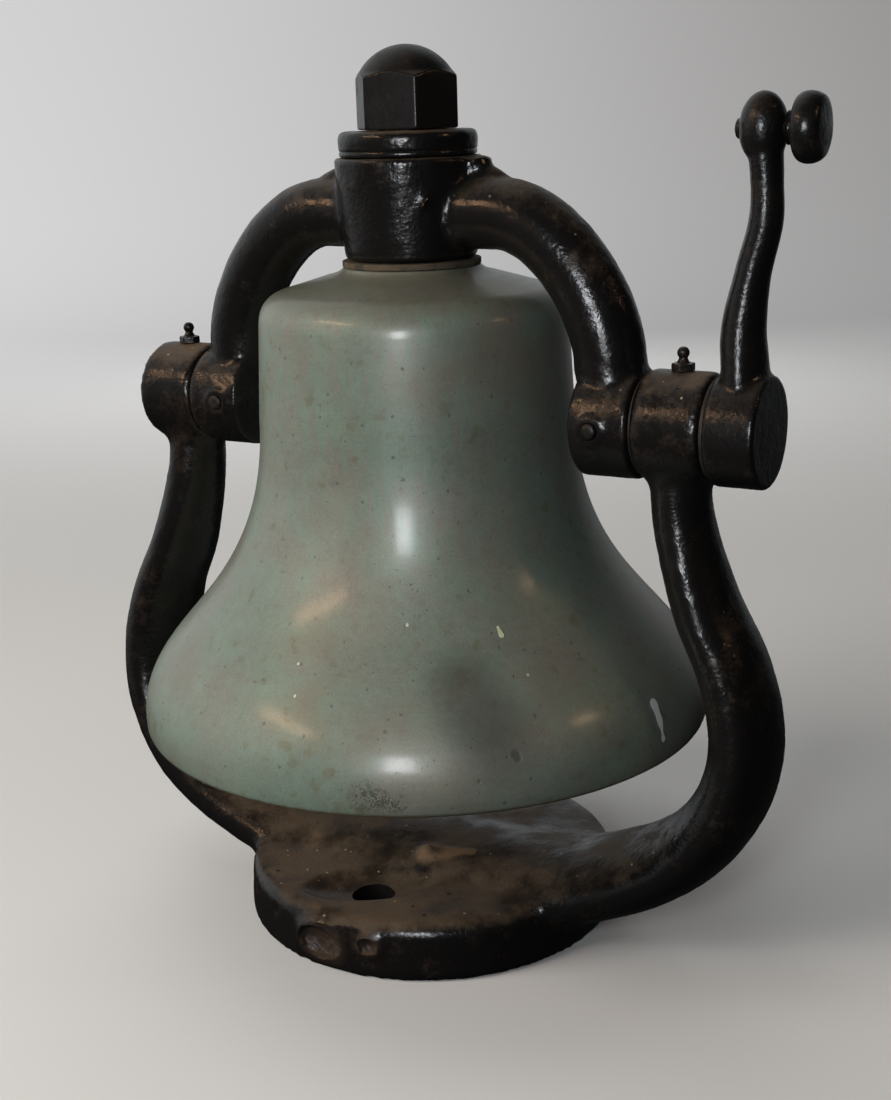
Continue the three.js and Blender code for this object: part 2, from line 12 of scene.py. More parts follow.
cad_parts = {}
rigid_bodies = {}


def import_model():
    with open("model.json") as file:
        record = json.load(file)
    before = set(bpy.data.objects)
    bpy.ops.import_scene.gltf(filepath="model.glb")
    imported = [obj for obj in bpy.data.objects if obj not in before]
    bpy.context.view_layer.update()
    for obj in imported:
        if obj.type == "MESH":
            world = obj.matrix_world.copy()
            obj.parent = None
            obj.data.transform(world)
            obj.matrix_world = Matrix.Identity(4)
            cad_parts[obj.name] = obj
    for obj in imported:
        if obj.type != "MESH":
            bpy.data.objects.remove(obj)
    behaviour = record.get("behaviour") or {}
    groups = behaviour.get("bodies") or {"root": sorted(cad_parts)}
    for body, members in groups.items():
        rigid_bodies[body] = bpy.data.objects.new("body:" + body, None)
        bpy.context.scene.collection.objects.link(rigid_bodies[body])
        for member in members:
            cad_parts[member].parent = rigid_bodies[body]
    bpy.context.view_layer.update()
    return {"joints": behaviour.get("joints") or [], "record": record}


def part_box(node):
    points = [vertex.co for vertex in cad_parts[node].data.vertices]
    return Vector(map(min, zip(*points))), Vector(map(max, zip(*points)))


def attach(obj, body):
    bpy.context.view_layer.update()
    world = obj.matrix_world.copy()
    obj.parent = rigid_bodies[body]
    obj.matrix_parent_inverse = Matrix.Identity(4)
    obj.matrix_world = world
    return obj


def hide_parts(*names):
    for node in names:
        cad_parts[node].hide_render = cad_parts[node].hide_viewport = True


bl_info = {
    "name": "Cradle Bell",
    "version": (1, 0, 0),
    "blender": (4, 5, 0),
    "location": "View3D > Sidebar > Cradle Bell",
    "description": "Models a swinging bronze bell with its yoke, stand, crank and clapper",
    "category": "Add Mesh",
}

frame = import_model()

MM = 0.001

record = frame["record"]
pivots = {joint["name"]: Vector(joint["pos_m"]) for joint in frame["joints"]}
body_of_node = {node: body for body, nodes in record["behaviour"]["bodies"].items() for node in nodes}


def low(node):
    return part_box(node)[0]


def high(node):
    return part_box(node)[1]


# Places and sizes that the frame settles
trunnion = pivots["yoke_swing"].z
clapper_axis = pivots["clapper_swing"].z
lip = low("bell_shell").z
crown = high("bell_shell").z
mouth_radius = high("bell_shell").x
neck_radius = high("crown_gasket").x
hub_bottom = high("crown_gasket").z + 0.3 * MM
hub_top = low("collar_washer").z - 0.3 * MM
boss_radius = trunnion - low("crank_arm").z
bearing_middle = (low("right_bearing_bush").x + high("right_bearing_bush").x) / 2
bearing_half = high("right_bearing_bush").x - bearing_middle + 0.5 * MM
bush_radius = high("right_bearing_bush").y
shaft_radius = high("right_trunnion_shaft").y
yoke_inner = low("right_trunnion_shaft").x - 1 * MM
yoke_outer = low("right_thrust_washer").x - 0.3 * MM
taper_pin_x = (low("right_taper_pin").x + high("right_taper_pin").x) / 2
crank_inner = low("crank_arm").x
crank_outer = high("right_trunnion_shaft").x + 0.5 * MM
belly_outer = high("stand_casting").x
foot_radius = -low("stand_casting").y
trunnion_point = (0, 0, trunnion)
clapper_point = (0, 0, clapper_axis)

# Sizes inside those, in metres
foot_height = 33 * MM
saddle_height = 44 * MM
flare_top = 177 * MM
barrel_radius = 89.3 * MM
bolt_hole_radius = 12.5 * MM
bolt_hole_reach = 68 * MM
pin_hole_radius = 4.75 * MM
shaft_hole_radius = shaft_radius + 0.2 * MM
fork_half = 21.5 * MM
fork_radius = 13 * MM

# Radius of the hole for the centre bolt and half the nut's width, in millimetres
centre_hole = 16.5
nut_flat = 25.4

# Colours that several pieces share
STEEL = (0.42, 0.41, 0.39)
OLD_GREASE = (0.06, 0.045, 0.035)
BUSH_BRONZE = (0.55, 0.35, 0.15)
BUSH_STAIN = (0.07, 0.05, 0.03)
WHITE = (1.0, 1.0, 1.0)
WARM = (1.0, 0.6, 0.33)

# The camera's place, its turn, dip and roll in degrees, and its lens in millimetres
CAMERA_PLACE = (0.4592, -0.7651, 0.4656)
CAMERA_TURN = (30.1, 15.6, -1.78)
CAMERA_LENS = 52.12


# ------------------------------------------------------------------ settings


def colour_property(name, description, default):
    return FloatVectorProperty(name=name, description=description, default=default, subtype="COLOR",
                               min=0.0, max=1.0)


def length_property(name, description, default):
    return FloatProperty(name=name, description=description, default=default, unit="LENGTH",
                         precision=5, min=0.0)


def factor_property(name, description, default):
    return FloatProperty(name=name, description=description, default=default, subtype="FACTOR",
                         min=0.0, max=1.0)


class CastingSettings(bpy.types.PropertyGroup):
    """Surface sizes of the iron castings."""

    stand_grain: length_property("Stand grain", "Voxel size of the stand's skin", 2.0 * MM)
    yoke_grain: length_property("Yoke grain", "Voxel size of the yoke's skin", 1.3 * MM)
    crank_grain: length_property("Crank grain", "Voxel size of the crank's skin", 0.9 * MM)
    lump_height: length_property("Lump height", "Height of the broad lumps left by the mould", 0.7 * MM)
    lump_width: length_property("Lump width", "Width of the broad lumps left by the mould", 16 * MM)
    peel_height: length_property("Peel height", "Height of the ripples in the paint", 0.16 * MM)
    peel_width: length_property("Peel width", "Width of the ripples in the paint", 4 * MM)


class EnamelSettings(bpy.types.PropertyGroup):
    """Colours of the black painted iron."""

    black: colour_property("Black", "The paint itself", (0.0055, 0.005, 0.0048))
    brown: colour_property("Brown", "Thin paint with rust under it", (0.024, 0.015, 0.0095))
    dust: colour_property("Dust", "Dust and dry grease lying on top", (0.072, 0.05, 0.031))
    gloss: factor_property("Gloss roughness", "Roughness where the paint is thick and clean", 0.23)


class PatinaSettings(bpy.types.PropertyGroup):
    """Colours of the bell's patina."""

    green: colour_property("Green", "Verdigris", (0.15, 0.195, 0.155))
    grey: colour_property("Grey", "Thin patina over the metal", (0.2, 0.2, 0.165))
    brown: colour_property("Brown", "Bare oxidised bronze", (0.15, 0.125, 0.088))
    inside: colour_property("Inside", "Dark bronze inside the mouth", (0.075, 0.062, 0.042))
    steps: IntProperty(name="Steps", description="Number of steps round the bell", default=256, min=48)
    roughness: factor_property("Roughness", "Roughness of the satin patina", 0.46)


class StageSettings(bpy.types.PropertyGroup):
    """Lights and floor."""

    key_power: FloatProperty(name="Key power", description="Power of the light near the camera",
                             default=4.0, unit="POWER", min=0.0)
    side_power: FloatProperty(name="Side power", description="Power of the broad light on the left",
                              default=46.0, unit="POWER", min=0.0)
    lamp_power: FloatProperty(name="Lamp power", description="Power of each warm tube",
                              default=7.0, unit="POWER", min=0.0)
    room: FloatProperty(name="Room", description="Strength of the light from the room's walls",
                        default=0.8, min=0.0)
    wall_glow: FloatProperty(name="Wall glow", description="Light that the backdrop gives out itself",
                             default=0.7, min=0.0)
    floor: colour_property("Floor", "Colour of the floor and backdrop", (0.52, 0.52, 0.51))


SETTINGS = {"bell_casting": CastingSettings, "bell_enamel": EnamelSettings,
            "bell_patina": PatinaSettings, "bell_stage": StageSettings}


# -------------------------------------------------------------- drawing lines


def scaled(points, size=MM):
    return [tuple(value * size for value in point) for point in points]


def bezier(corners, count):
    """Points along a Bezier curve of any number of corners."""
    places = np.linspace(0, 1, count)[:, None]
    points = [np.array([corner] * count, float) for corner in corners]
    while len(points) > 1:
        points = [a * (1 - places) + b * places for a, b in zip(points, points[1:])]
    return [tuple(point) for point in points[0]]


def spline(stations, count):
    """Smooth values through equally spaced stations."""
    stations = np.array(stations, float)
    last = len(stations) - 1
    values = []
    for place in np.linspace(0, last, count):
        i = min(int(place), last - 1)
        t = place - i
        before, a, b, after = (stations[k] for k in (max(i - 1, 0), i, i + 1, min(i + 2, last)))
        leaving, arriving = (b - before) / 2, (after - a) / 2
        values.append(tuple((2 * t**3 - 3 * t**2 + 1) * a + (t**3 - 2 * t**2 + t) * leaving
                            + (3 * t**2 - 2 * t**3) * b + (t**3 - t**2) * arriving))
    return values


def arc(centre, radius, start, end, count):
    """Points round a circle, with angles in degrees from the first axis."""
    angles = [math.radians(start + (end - start) * i / (count - 1)) for i in range(count)]
    return [(centre[0] + radius * math.cos(a), centre[1] + radius * math.sin(a)) for a in angles]


# ------------------------------------------------------------- modelling tools


def only(piece):
    """Selects one piece alone and makes it active."""
    bpy.ops.object.select_all(action="DESELECT")
    piece.select_set(True)
    bpy.context.view_layer.objects.active = piece


@contextmanager
def editing(piece, action="SELECT"):
    only(piece)
    bpy.ops.object.mode_set(mode="EDIT")
    bpy.ops.mesh.select_mode(type="VERT")
    bpy.ops.mesh.select_all(action=action)
    yield
    bpy.ops.object.mode_set(mode="OBJECT")


def fresh(name):
    """The primitive just added, under its own name."""
    piece = bpy.context.active_object
    piece.name = name
    piece.data.name = name
    return piece


def placed(piece, location=(0, 0, 0), rotation=(0, 0, 0), size=(1, 1, 1)):
    """Moves, turns in degrees and scales a piece, and keeps that in its mesh."""
    only(piece)
    piece.location = location
    piece.rotation_euler = [math.radians(angle) for angle in rotation]
    piece.scale = size
    bpy.ops.object.transform_apply(location=True, rotation=True, scale=True)
    return piece


def modified(piece, kind, **settings):
    only(piece)
    modifier = piece.modifiers.new(kind, kind)
    for name, value in settings.items():
        setattr(modifier, name, value)
    bpy.ops.object.modifier_apply(modifier=kind)
    return piece


def joined(name, parts):
    only(parts[0])
    for part in parts[1:]:
        part.select_set(True)
    if len(parts) > 1:
        bpy.ops.object.join()
    return fresh(name)


def booleaned(piece, tool, operation="DIFFERENCE"):
    modified(piece, "BOOLEAN", object=tool, operation=operation, solver="EXACT")
    bpy.data.objects.remove(tool)
    return piece


def turned(name, outline, steps=96, along="Z", location=(0, 0, 0), bevel=0.0):
    """Spins an outline of (radius, height) points about an axis."""
    bpy.ops.object.select_all(action="DESELECT")
    bpy.ops.mesh.primitive_plane_add(size=MM, enter_editmode=True)
    bpy.ops.mesh.select_mode(type="VERT")
    bpy.ops.mesh.select_all(action="SELECT")
    bpy.ops.mesh.merge(type="CENTER")
    bpy.ops.transform.translate(value=(outline[0][0], 0, outline[0][1]))
    for (r0, z0), (r1, z1) in zip(outline, outline[1:]):
        bpy.ops.mesh.extrude_region_move(TRANSFORM_OT_translate={"value": (r1 - r0, 0, z1 - z0)})
    bpy.ops.mesh.select_all(action="SELECT")
    bpy.ops.mesh.spin(steps=steps, angle=math.tau, center=(0, 0, 0), axis=(0, 0, 1))
    bpy.ops.mesh.select_all(action="SELECT")
    bpy.ops.mesh.remove_doubles(threshold=1e-6)
    bpy.ops.mesh.normals_make_consistent(inside=False)
    bpy.ops.object.mode_set(mode="OBJECT")
    piece = fresh(name)
    rotation = {"Z": (0, 0, 0), "X": (0, 90, 0), "Y": (90, 0, 0)}[along]
    placed(piece, location, rotation)
    if bevel:
        modified(piece, "BEVEL", width=bevel, segments=3, limit_method="ANGLE",
                 angle_limit=math.radians(35))
    return piece


def block(name, centre, size):
    """A square block."""
    bpy.ops.object.select_all(action="DESELECT")
    bpy.ops.mesh.primitive_cube_add(size=1)
    return placed(fresh(name), centre, size=size)


def hexagon(name, radius, tall, centre, turn=0.0):
    """An upright bar of six flats."""
    bpy.ops.object.select_all(action="DESELECT")
    bpy.ops.mesh.primitive_cylinder_add(vertices=6, radius=radius, depth=tall)
    return placed(fresh(name), centre, (0, 0, turn))


def bar(radius, start, end):
    return [(0, start), (radius, start), (radius, end), (0, end)]


def ring(inner, outer, start, end):
    return [(inner, start), (outer, start), (outer, end), (inner, end), (inner, start)]


def oval_bar(name, line, halves, sides=40):
    """A bar of changing oval section along a line of (x, z) points.

    It is drawn out straight, ring by ring, and then laid along the line."""
    bpy.ops.object.select_all(action="DESELECT")
    bpy.ops.mesh.primitive_circle_add(vertices=sides, radius=1, fill_type="NGON", enter_editmode=True)
    bpy.ops.transform.rotate(value=math.pi / 2, orient_axis="Y", center_override=(0, 0, 0))
    bpy.ops.transform.resize(value=(1, *halves[0]), center_override=(0, 0, 0))
    place = 0.0
    for i in range(1, len(line)):
        step = math.dist(line[i - 1], line[i])
        place += step
        thicker, deeper = (now / then for now, then in zip(halves[i], halves[i - 1]))
        bpy.ops.mesh.extrude_region_move(TRANSFORM_OT_translate={"value": (step, 0, 0)})
        bpy.ops.transform.resize(value=(1, thicker, deeper), center_override=(place, 0, 0))
    bpy.ops.mesh.select_all(action="SELECT")
    bpy.ops.mesh.normals_make_consistent(inside=False)
    bpy.ops.object.mode_set(mode="OBJECT")
    piece = fresh(name)
    route = bpy.data.curves.new(name + "_route", "CURVE")
    route.dimensions = "2D"
    points = route.splines.new("POLY").points
    points.add(len(line) - 1)
    for point, (x, z) in zip(points, line):
        point.co = (x, z, 0, 1)
    guide = bpy.data.objects.new(name + "_route", route)
    bpy.context.scene.collection.objects.link(guide)
    modified(piece, "CURVE", object=guide, deform_axis="POS_X")
    bpy.data.objects.remove(guide)
    return placed(piece, rotation=(90, 0, 0))


def blob(name, centre, halves, rotation=(0, 0, 0), detail=4):
    """A rounded lump, such as a run of paint or the tool for a hollow."""
    bpy.ops.object.select_all(action="DESELECT")
    bpy.ops.mesh.primitive_ico_sphere_add(subdivisions=detail, radius=1)
    return placed(fresh(name), centre, rotation, halves)


def run(name, start, end, width, flatten=1.0):
    """A bead, drip or ridge from one point to another."""
    start, end = Vector(start), Vector(end)
    way = end - start
    turn = [math.degrees(angle) for angle in way.to_track_quat("Z", "Y").to_euler()]
    return blob(name, (start + end) / 2, (width, width * flatten, way.length / 2 + width), turn)


def mesh_numbers(mesh):
    """Vertex places, vertex normals and edge ends as arrays."""
    places = np.empty(len(mesh.vertices) * 3)
    normals = np.empty(len(mesh.vertices) * 3)
    ends = np.empty(len(mesh.edges) * 2, int)
    mesh.vertices.foreach_get("co", places)
    mesh.vertices.foreach_get("normal", normals)
    mesh.edges.foreach_get("vertices", ends)
    return places.reshape(-1, 3), normals.reshape(-1, 3), ends.reshape(-1, 2)


def soften_hollows(piece, depth, widen, repeats):
    """Fills inside corners with a cast fillet.

    Picks the vertices that lie deeper than the mean of their neighbours and smooths round them."""
    places, normals, ends = mesh_numbers(piece.data)
    total = np.zeros_like(places)
    count = np.zeros(len(places))
    for near, far in (ends.T, ends.T[::-1]):
        np.add.at(total, near, places[far])
        np.add.at(count, near, 1)
    rise = ((total / count[:, None] - places) * normals).sum(1)
    hollow = rise > depth
    only(piece)
    for items in (piece.data.polygons, piece.data.edges):
        items.foreach_set("select", np.zeros(len(items), bool))
    piece.data.vertices.foreach_set("select", hollow)
    bpy.ops.object.mode_set(mode="EDIT")
    bpy.ops.mesh.select_mode(type="VERT")
    for _ in range(widen):
        bpy.ops.mesh.select_more()
    bpy.ops.mesh.vertices_smooth(factor=0.5, repeat=repeats)
    bpy.ops.object.mode_set(mode="OBJECT")


def clouds(name, width):
    texture = bpy.data.textures.new(name, "CLOUDS")
    texture.noise_scale = width
    texture.noise_depth = 2
    return texture


def cast(name, parts, grain, fillet=30, lumps=1.0, level=0.62, relax=3, hollows=()):
    """Fuses overlapping parts into one skin with fillets and an uneven painted surface.

    Hollows are cut after the fillets, so that their rims are rounded less."""
    settings = bpy.context.scene.bell_casting
    piece = joined(name, parts)
    modified(piece, "REMESH", mode="VOXEL", voxel_size=grain, use_smooth_shade=True)
    soften_hollows(piece, 0.06 * grain, 2, fillet)
    if hollows:
        booleaned(piece, joined(name + "_hollows", list(hollows)))
        modified(piece, "REMESH", mode="VOXEL", voxel_size=grain, use_smooth_shade=True)
    modified(piece, "SMOOTH", factor=0.5, iterations=relax)
    for kind in ("lump", "peel"):
        width = getattr(settings, kind + "_width")
        height = getattr(settings, kind + "_height")
        modified(piece, "DISPLACE", texture=clouds(f"{name}_{kind}", width), mid_level=level,
                 strength=lumps * height, texture_coords="LOCAL")
    return piece


def settle(piece, finish, *nodes):
    """Gives a finished piece its material and body, and the frame nodes that it stands for."""
    piece.data.materials.clear()
    piece.data.materials.append(finish)
    piece.data.polygons.foreach_set("material_index", [0] * len(piece.data.polygons))
    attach(piece, body_of_node[nodes[0]])
    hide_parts(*nodes)


def smoothed(piece, degrees=35):
    only(piece)
    bpy.ops.object.shade_smooth_by_angle(angle=math.radians(degrees))
    return piece


# -------------------------------------------------------------------- shaders


class Socket:
    """A shader output that takes part in Python arithmetic."""

    def __init__(self, finish, output):
        self.finish = finish
        self.output = output

    def _maths(self, operation, *values):
        return self.finish.node("Math", {"operation": operation}, dict(enumerate(values)))

    def __add__(self, other):
        return self._maths("ADD", self, other)

    def __radd__(self, other):
        return self._maths("ADD", other, self)

    def __sub__(self, other):
        return self._maths("SUBTRACT", self, other)

    def __rsub__(self, other):
        return self._maths("SUBTRACT", other, self)

    def __mul__(self, other):
        return self._maths("MULTIPLY", self, other)

    def __rmul__(self, other):
        return self._maths("MULTIPLY", other, self)

    def __truediv__(self, other):
        return self._maths("DIVIDE", self, other)

    def least(self, other):
        return self._maths("MINIMUM", self, other)

    def most(self, other):
        return self._maths("MAXIMUM", self, other)


class Finish:
    """The nodes of one material, or of the room's light."""

    def __init__(self, owner, shader="Principled BSDF"):
        self.material = bpy.data.materials.new(owner) if isinstance(owner, str) else owner
        self.material.use_nodes = True
        self.tree = self.material.node_tree
        self.shader = self.tree.nodes[shader]

    def node(self, kind, settings, sockets, output=0):
        """Adds a node: its settings first, then the values or links of its sockets."""
        made = self.tree.nodes.new("ShaderNode" + kind)
        for name, value in settings.items():
            setattr(made, name, value)
        for name, value in sockets.items():
            if isinstance(value, Socket):
                self.tree.links.new(value.output, made.inputs[name])
            else:
                made.inputs[name].default_value = value
        return Socket(self, made.outputs[output])

    def surface(self, **sockets):
        """Sets the shader's own sockets. Underscores stand for spaces."""
        for name, value in sockets.items():
            socket = self.shader.inputs[name.replace("_", " ")]
            if isinstance(value, Socket):
                self.tree.links.new(value.output, socket)
            else:
                socket.default_value = value

    def place(self):
        return self.node("TexCoord", {}, {}, "Object")

    def facing(self):
        """How far the surface faces up, from -1 to 1."""
        normal = self.node("TexCoord", {}, {}, "Normal")
        return self.node("SeparateXYZ", {}, {0: normal}, 2)

    def stretched(self, place, scale):
        return self.node("Mapping", {}, {"Vector": place, "Scale": scale})

    def noise(self, place, width, detail=3.0, roughness=0.55, distortion=0.0):
        """Soft noise from 0 to 1 whose features are about as wide as given."""
        return self.node("TexNoise", {}, {"Vector": place, "Scale": 1 / width, "Detail": detail,
                                          "Roughness": roughness, "Distortion": distortion})

    def band(self, value, start, end, low_value=0.0, high_value=1.0):
        """A smooth step between two values."""
        return self.node("MapRange", {"interpolation_type": "SMOOTHSTEP", "clamp": True},
                         {0: value, 1: start, 2: end, 3: low_value, 4: high_value})

    def specks(self, place, spacing, size, share):
        """Round specks scattered over the surface: a share of the cells has one."""
        cell = {"Vector": place, "Scale": 1 / spacing, "Randomness": 1.0}
        distance = self.node("TexVoronoi", {"feature": "F1"}, cell, "Distance")
        colour = self.node("TexVoronoi", {"feature": "F1"}, cell, "Color")
        pick = self.node("SeparateColor", {}, {0: colour}, 0)
        radius = size / spacing * self.band(pick, 1 - share, 1.0)
        return self.band(distance, radius, 0.6 * radius)

    def mix(self, factor, first, second):
        """Blends two colours."""
        first, second = (value if isinstance(value, Socket) else (*value, 1.0) for value in (first, second))
        return self.node("Mix", {"data_type": "RGBA"}, {0: factor, 6: first, 7: second}, 2)

    def mix_number(self, factor, first, second):
        """Blends two numbers."""
        return first * (1 - factor) + second * factor

    def shaded(self, colour, amount):
        """A colour made lighter or darker by a number."""
        grey = self.node("CombineColor", {}, {0: amount, 1: amount, 2: amount})
        settings = {"data_type": "RGBA", "blend_type": "MULTIPLY"}
        return self.node("Mix", settings, {0: 1.0, 6: colour, 7: grey}, 2)

    def near_line(self, place, start, end, start_width, end_width, blur=0.25):
        """1 within a tapering run from start to end, and 0 outside it."""
        start, end = Vector(start), Vector(end)
        run = end - start
        offset = self.node("VectorMath", {"operation": "SUBTRACT"}, {0: place, 1: start})
        along = self.node("VectorMath", {"operation": "DOT_PRODUCT"}, {0: offset, 1: run}, "Value")
        share = self.band(along / max(run.length_squared, 1e-9), 0.0, 1.0)
        step = self.node("VectorMath", {"operation": "SCALE"}, {0: run, "Scale": share})
        distance = self.node("VectorMath", {"operation": "DISTANCE"}, {0: offset, 1: step}, "Value")
        width = start_width + share * (end_width - start_width)
        return self.band(distance / width, 1 + blur, 1 - blur)

    def bumped(self, *layers):
        """Feeds stacked (height, distance) layers to the normal."""
        normal = None
        for height, distance in layers:
            sockets = {"Height": height, "Strength": 1.0, "Distance": distance}
            if normal is not None:
                sockets["Normal"] = normal
            normal = self.node("Bump", {}, sockets)
        self.surface(Normal=normal)


def enamelled_iron(name, dust=1.0, rust=1.0, satin=0.0, scab=None, rusted=(), peel=1.0):
    """Thick black enamel over a rough casting, with dust on top and rust showing through."""
    look = bpy.context.scene.bell_enamel
    finish = Finish(name)
    place = finish.place()
    broad = finish.noise(place, 45 * MM, 4)
    patchy = finish.noise(place, 14 * MM, 5, 0.65)
    fine = finish.noise(place, 2.2 * MM, 4, 0.6)
    grit = finish.noise(place, 0.7 * MM, 2)
    orange = finish.noise(place, 2.0 * MM, 2, 0.4)
    worn = finish.band(broad * 0.55 + patchy * 0.45 + (fine - 0.5) * 0.25, 0.52, 0.68) * rust
    colour = finish.mix(worn * 0.7, look.black, look.brown)
    up = finish.facing()
    drifts = finish.band(finish.noise(place, 38 * MM, 4, 0.6), 0.36, 0.6, 0.25, 1.0)
    settled = finish.band(up + (patchy - 0.5) * 0.9 + (fine - 0.5) * 0.3, 0.45, 1.05) * dust * drifts
    colour = finish.mix(settled * 0.9, colour, look.dust)
    flecks = finish.specks(place, 4.2 * MM, 0.95 * MM, 0.25) * finish.band(up, 0.2, 0.8) * dust
    colour = finish.mix(flecks * 0.8, colour, (0.24, 0.19, 0.13))
    holes = finish.specks(place, 5.5 * MM, 1.3 * MM, 0.2) * finish.band(up, 0.2, 0.8) * dust
    colour = finish.mix(holes * 0.9, colour, (0.004, 0.004, 0.004))
    for start, end, width in rusted:
        crust = finish.near_line(place, start, end, width, width, 0.45) * (0.4 + patchy)
        colour = finish.mix(crust * 0.6, colour, (0.036, 0.023, 0.015))
        settled = settled.most(crust * 0.6)
    if scab:
        crust = finish.near_line(place, *scab, 8 * MM, 3.4 * MM, 0.4)
        colour = finish.mix(crust * (0.55 + fine * 0.6), colour, (0.13, 0.08, 0.042))
        settled = settled.most(crust)
    rough = look.gloss + satin + worn * 0.2 + settled * 0.45 + (patchy - 0.5) * 0.14
    finish.surface(Base_Color=colour, Roughness=rough.least(0.85).most(0.12), Metallic=0.0,
                   Specular_IOR_Level=0.44)
    finish.bumped((patchy, 0.22 * MM * peel), (orange, 0.2 * MM * peel), (fine, 0.05 * MM * peel),
                  (grit, 0.02 * MM), (0.0 - holes, 0.4 * MM))
    return finish.material


def patinated_bronze(name):
    """Satin verdigris over turned bronze."""
    look = bpy.context.scene.bell_patina
    finish = Finish(name)
    place = finish.place()
    x, y, z = (finish.node("SeparateXYZ", {}, {0: place}, i) for i in range(3))
    radius = finish.node("VectorMath", {"operation": "LENGTH"},
                         {0: finish.stretched(place, (1, 1, 0))}, "Value")
    across = finish.node("CombineXYZ", {}, {0: x / radius, 1: y / radius, 2: z * 1.3})
    broad = finish.noise(place, 90 * MM, 4, 0.6)
    cloudy = finish.noise(place, 26 * MM, 5, 0.65)
    mottled = finish.noise(place, 4.5 * MM, 5, 0.7)
    fine = finish.noise(place, 1.1 * MM, 3, 0.6)
    grain = finish.noise(place, 0.6 * MM, 2)
    streaks = finish.noise(across, 0.035, 3, 0.6)
    rings = finish.noise(finish.stretched(place, (6, 6, 900)), 1.0, 3, 0.7)
    lathe = finish.noise(finish.stretched(place, (2, 2, 220)), 1.0, 2, 0.5)

    height = z - lip
    barrel = finish.band(height, 70 * MM, 170 * MM)
    greener = broad * 0.45 + cloudy * 0.35 + mottled * 0.2 + (streaks - 0.5) * 0.5 * barrel
    colour = finish.mix(finish.band(greener, 0.38, 0.6), look.grey, look.green)
    rubbed = finish.band(finish.noise(place, 60 * MM, 3, 0.5) + (mottled - 0.5) * 0.35, 0.52, 0.74)
    colour = finish.mix(rubbed * 0.5, colour, look.brown)
    stains = finish.band(finish.noise(place, 9 * MM, 3, 0.5) + (broad - 0.5) * 0.5, 0.62, 0.74)
    colour = finish.mix(stains * 0.5, colour, (0.115, 0.1, 0.052))
    normal_up = finish.facing()
    # Painted dark reflection: the upward-facing shoulder is made darker, standing in for the dark reflection
    # across the top of the bell.
    shoulder = finish.band(height, 228 * MM, 248 * MM) * finish.band(normal_up, 0.2, 0.9)
    colour = finish.mix(shoulder * (0.3 + cloudy * 0.7), colour, (0.095, 0.088, 0.058))
    tone = 0.84 + (mottled - 0.5) * 0.55 + (fine - 0.5) * 0.4 + (cloudy - 0.5) * 0.5
    tone = tone + (rings - 0.5) * 0.1 + (streaks - 0.5) * 0.3 * barrel
    colour = finish.shaded(colour, tone)

    wobble = finish.node("TexNoise", {}, {"Vector": place, "Scale": 1 / (1.3 * MM), "Detail": 2.0}, 1)
    ragged = finish.node("VectorMath", {"operation": "MULTIPLY_ADD"},
                         {0: wobble, 1: (1.6 * MM,) * 3, 2: place})
    pits = (finish.specks(ragged, 5.0 * MM, 1.15 * MM, 0.4) * 0.6).most(
        finish.specks(ragged, 2.3 * MM, 0.5 * MM, 0.45) * 0.5)
    smudges = finish.near_line(place, (0.1165, -0.1098, lip + 29 * MM), (0.1175, -0.1098, lip + 27 * MM),
                               2.2 * MM, 1.8 * MM, 0.6)
    shadow = finish.near_line(place, (0.086, -0.108, lip + 60 * MM), (0.104, -0.1145, lip + 38 * MM),
                              16 * MM, 20 * MM, 0.85) * (0.4 + cloudy * 0.9)
    lip_pits = finish.near_line(place, (0.054, -0.155, lip + 12 * MM), (0.07, -0.149, lip + 9 * MM),
                                7 * MM, 5 * MM, 0.9) * finish.band(mottled + fine - 1.0, 0.02, 0.1)
    dark = (pits * 0.8).most(smudges * 0.75).most(lip_pits * 0.9)
    colour = finish.mix(shadow * 0.75, colour, (0.038, 0.038, 0.032))
    colour = finish.mix(dark, colour, (0.036, 0.038, 0.03))
    run = finish.near_line(place, (0.1562, -0.0262, lip + 33 * MM), (0.1625, -0.0277, lip + 15 * MM),
                           3.3 * MM, 2.0 * MM, 0.12)
    drop = finish.near_line(place, (0.0905, -0.0772, lip + 82.5 * MM), (0.0932, -0.0783, lip + 79 * MM),
                            0.9 * MM, 1.5 * MM, 0.2)
    colour = finish.mix(run, colour, (0.55, 0.55, 0.52))
    colour = finish.mix(drop, colour, (0.42, 0.44, 0.3))
    for dot in ((0.0517, -0.1037, lip + 86 * MM), (0.1096, -0.0819, lip + 61 * MM),
                (0.0019, -0.1317, lip + 67 * MM), (0.0067, -0.1426, lip + 53 * MM)):
        fleck = finish.near_line(place, dot, (dot[0], dot[1], dot[2] + 1 * MM), 0.8 * MM, 0.6 * MM, 0.3)
        colour = finish.mix(fleck * 0.8, colour, (0.5, 0.5, 0.46))
    edge = finish.band(height + (mottled - 0.5) * 2.5 * MM, 2.6 * MM, 1.4 * MM)
    colour = finish.mix(edge * 0.8, colour, (0.12, 0.072, 0.035))

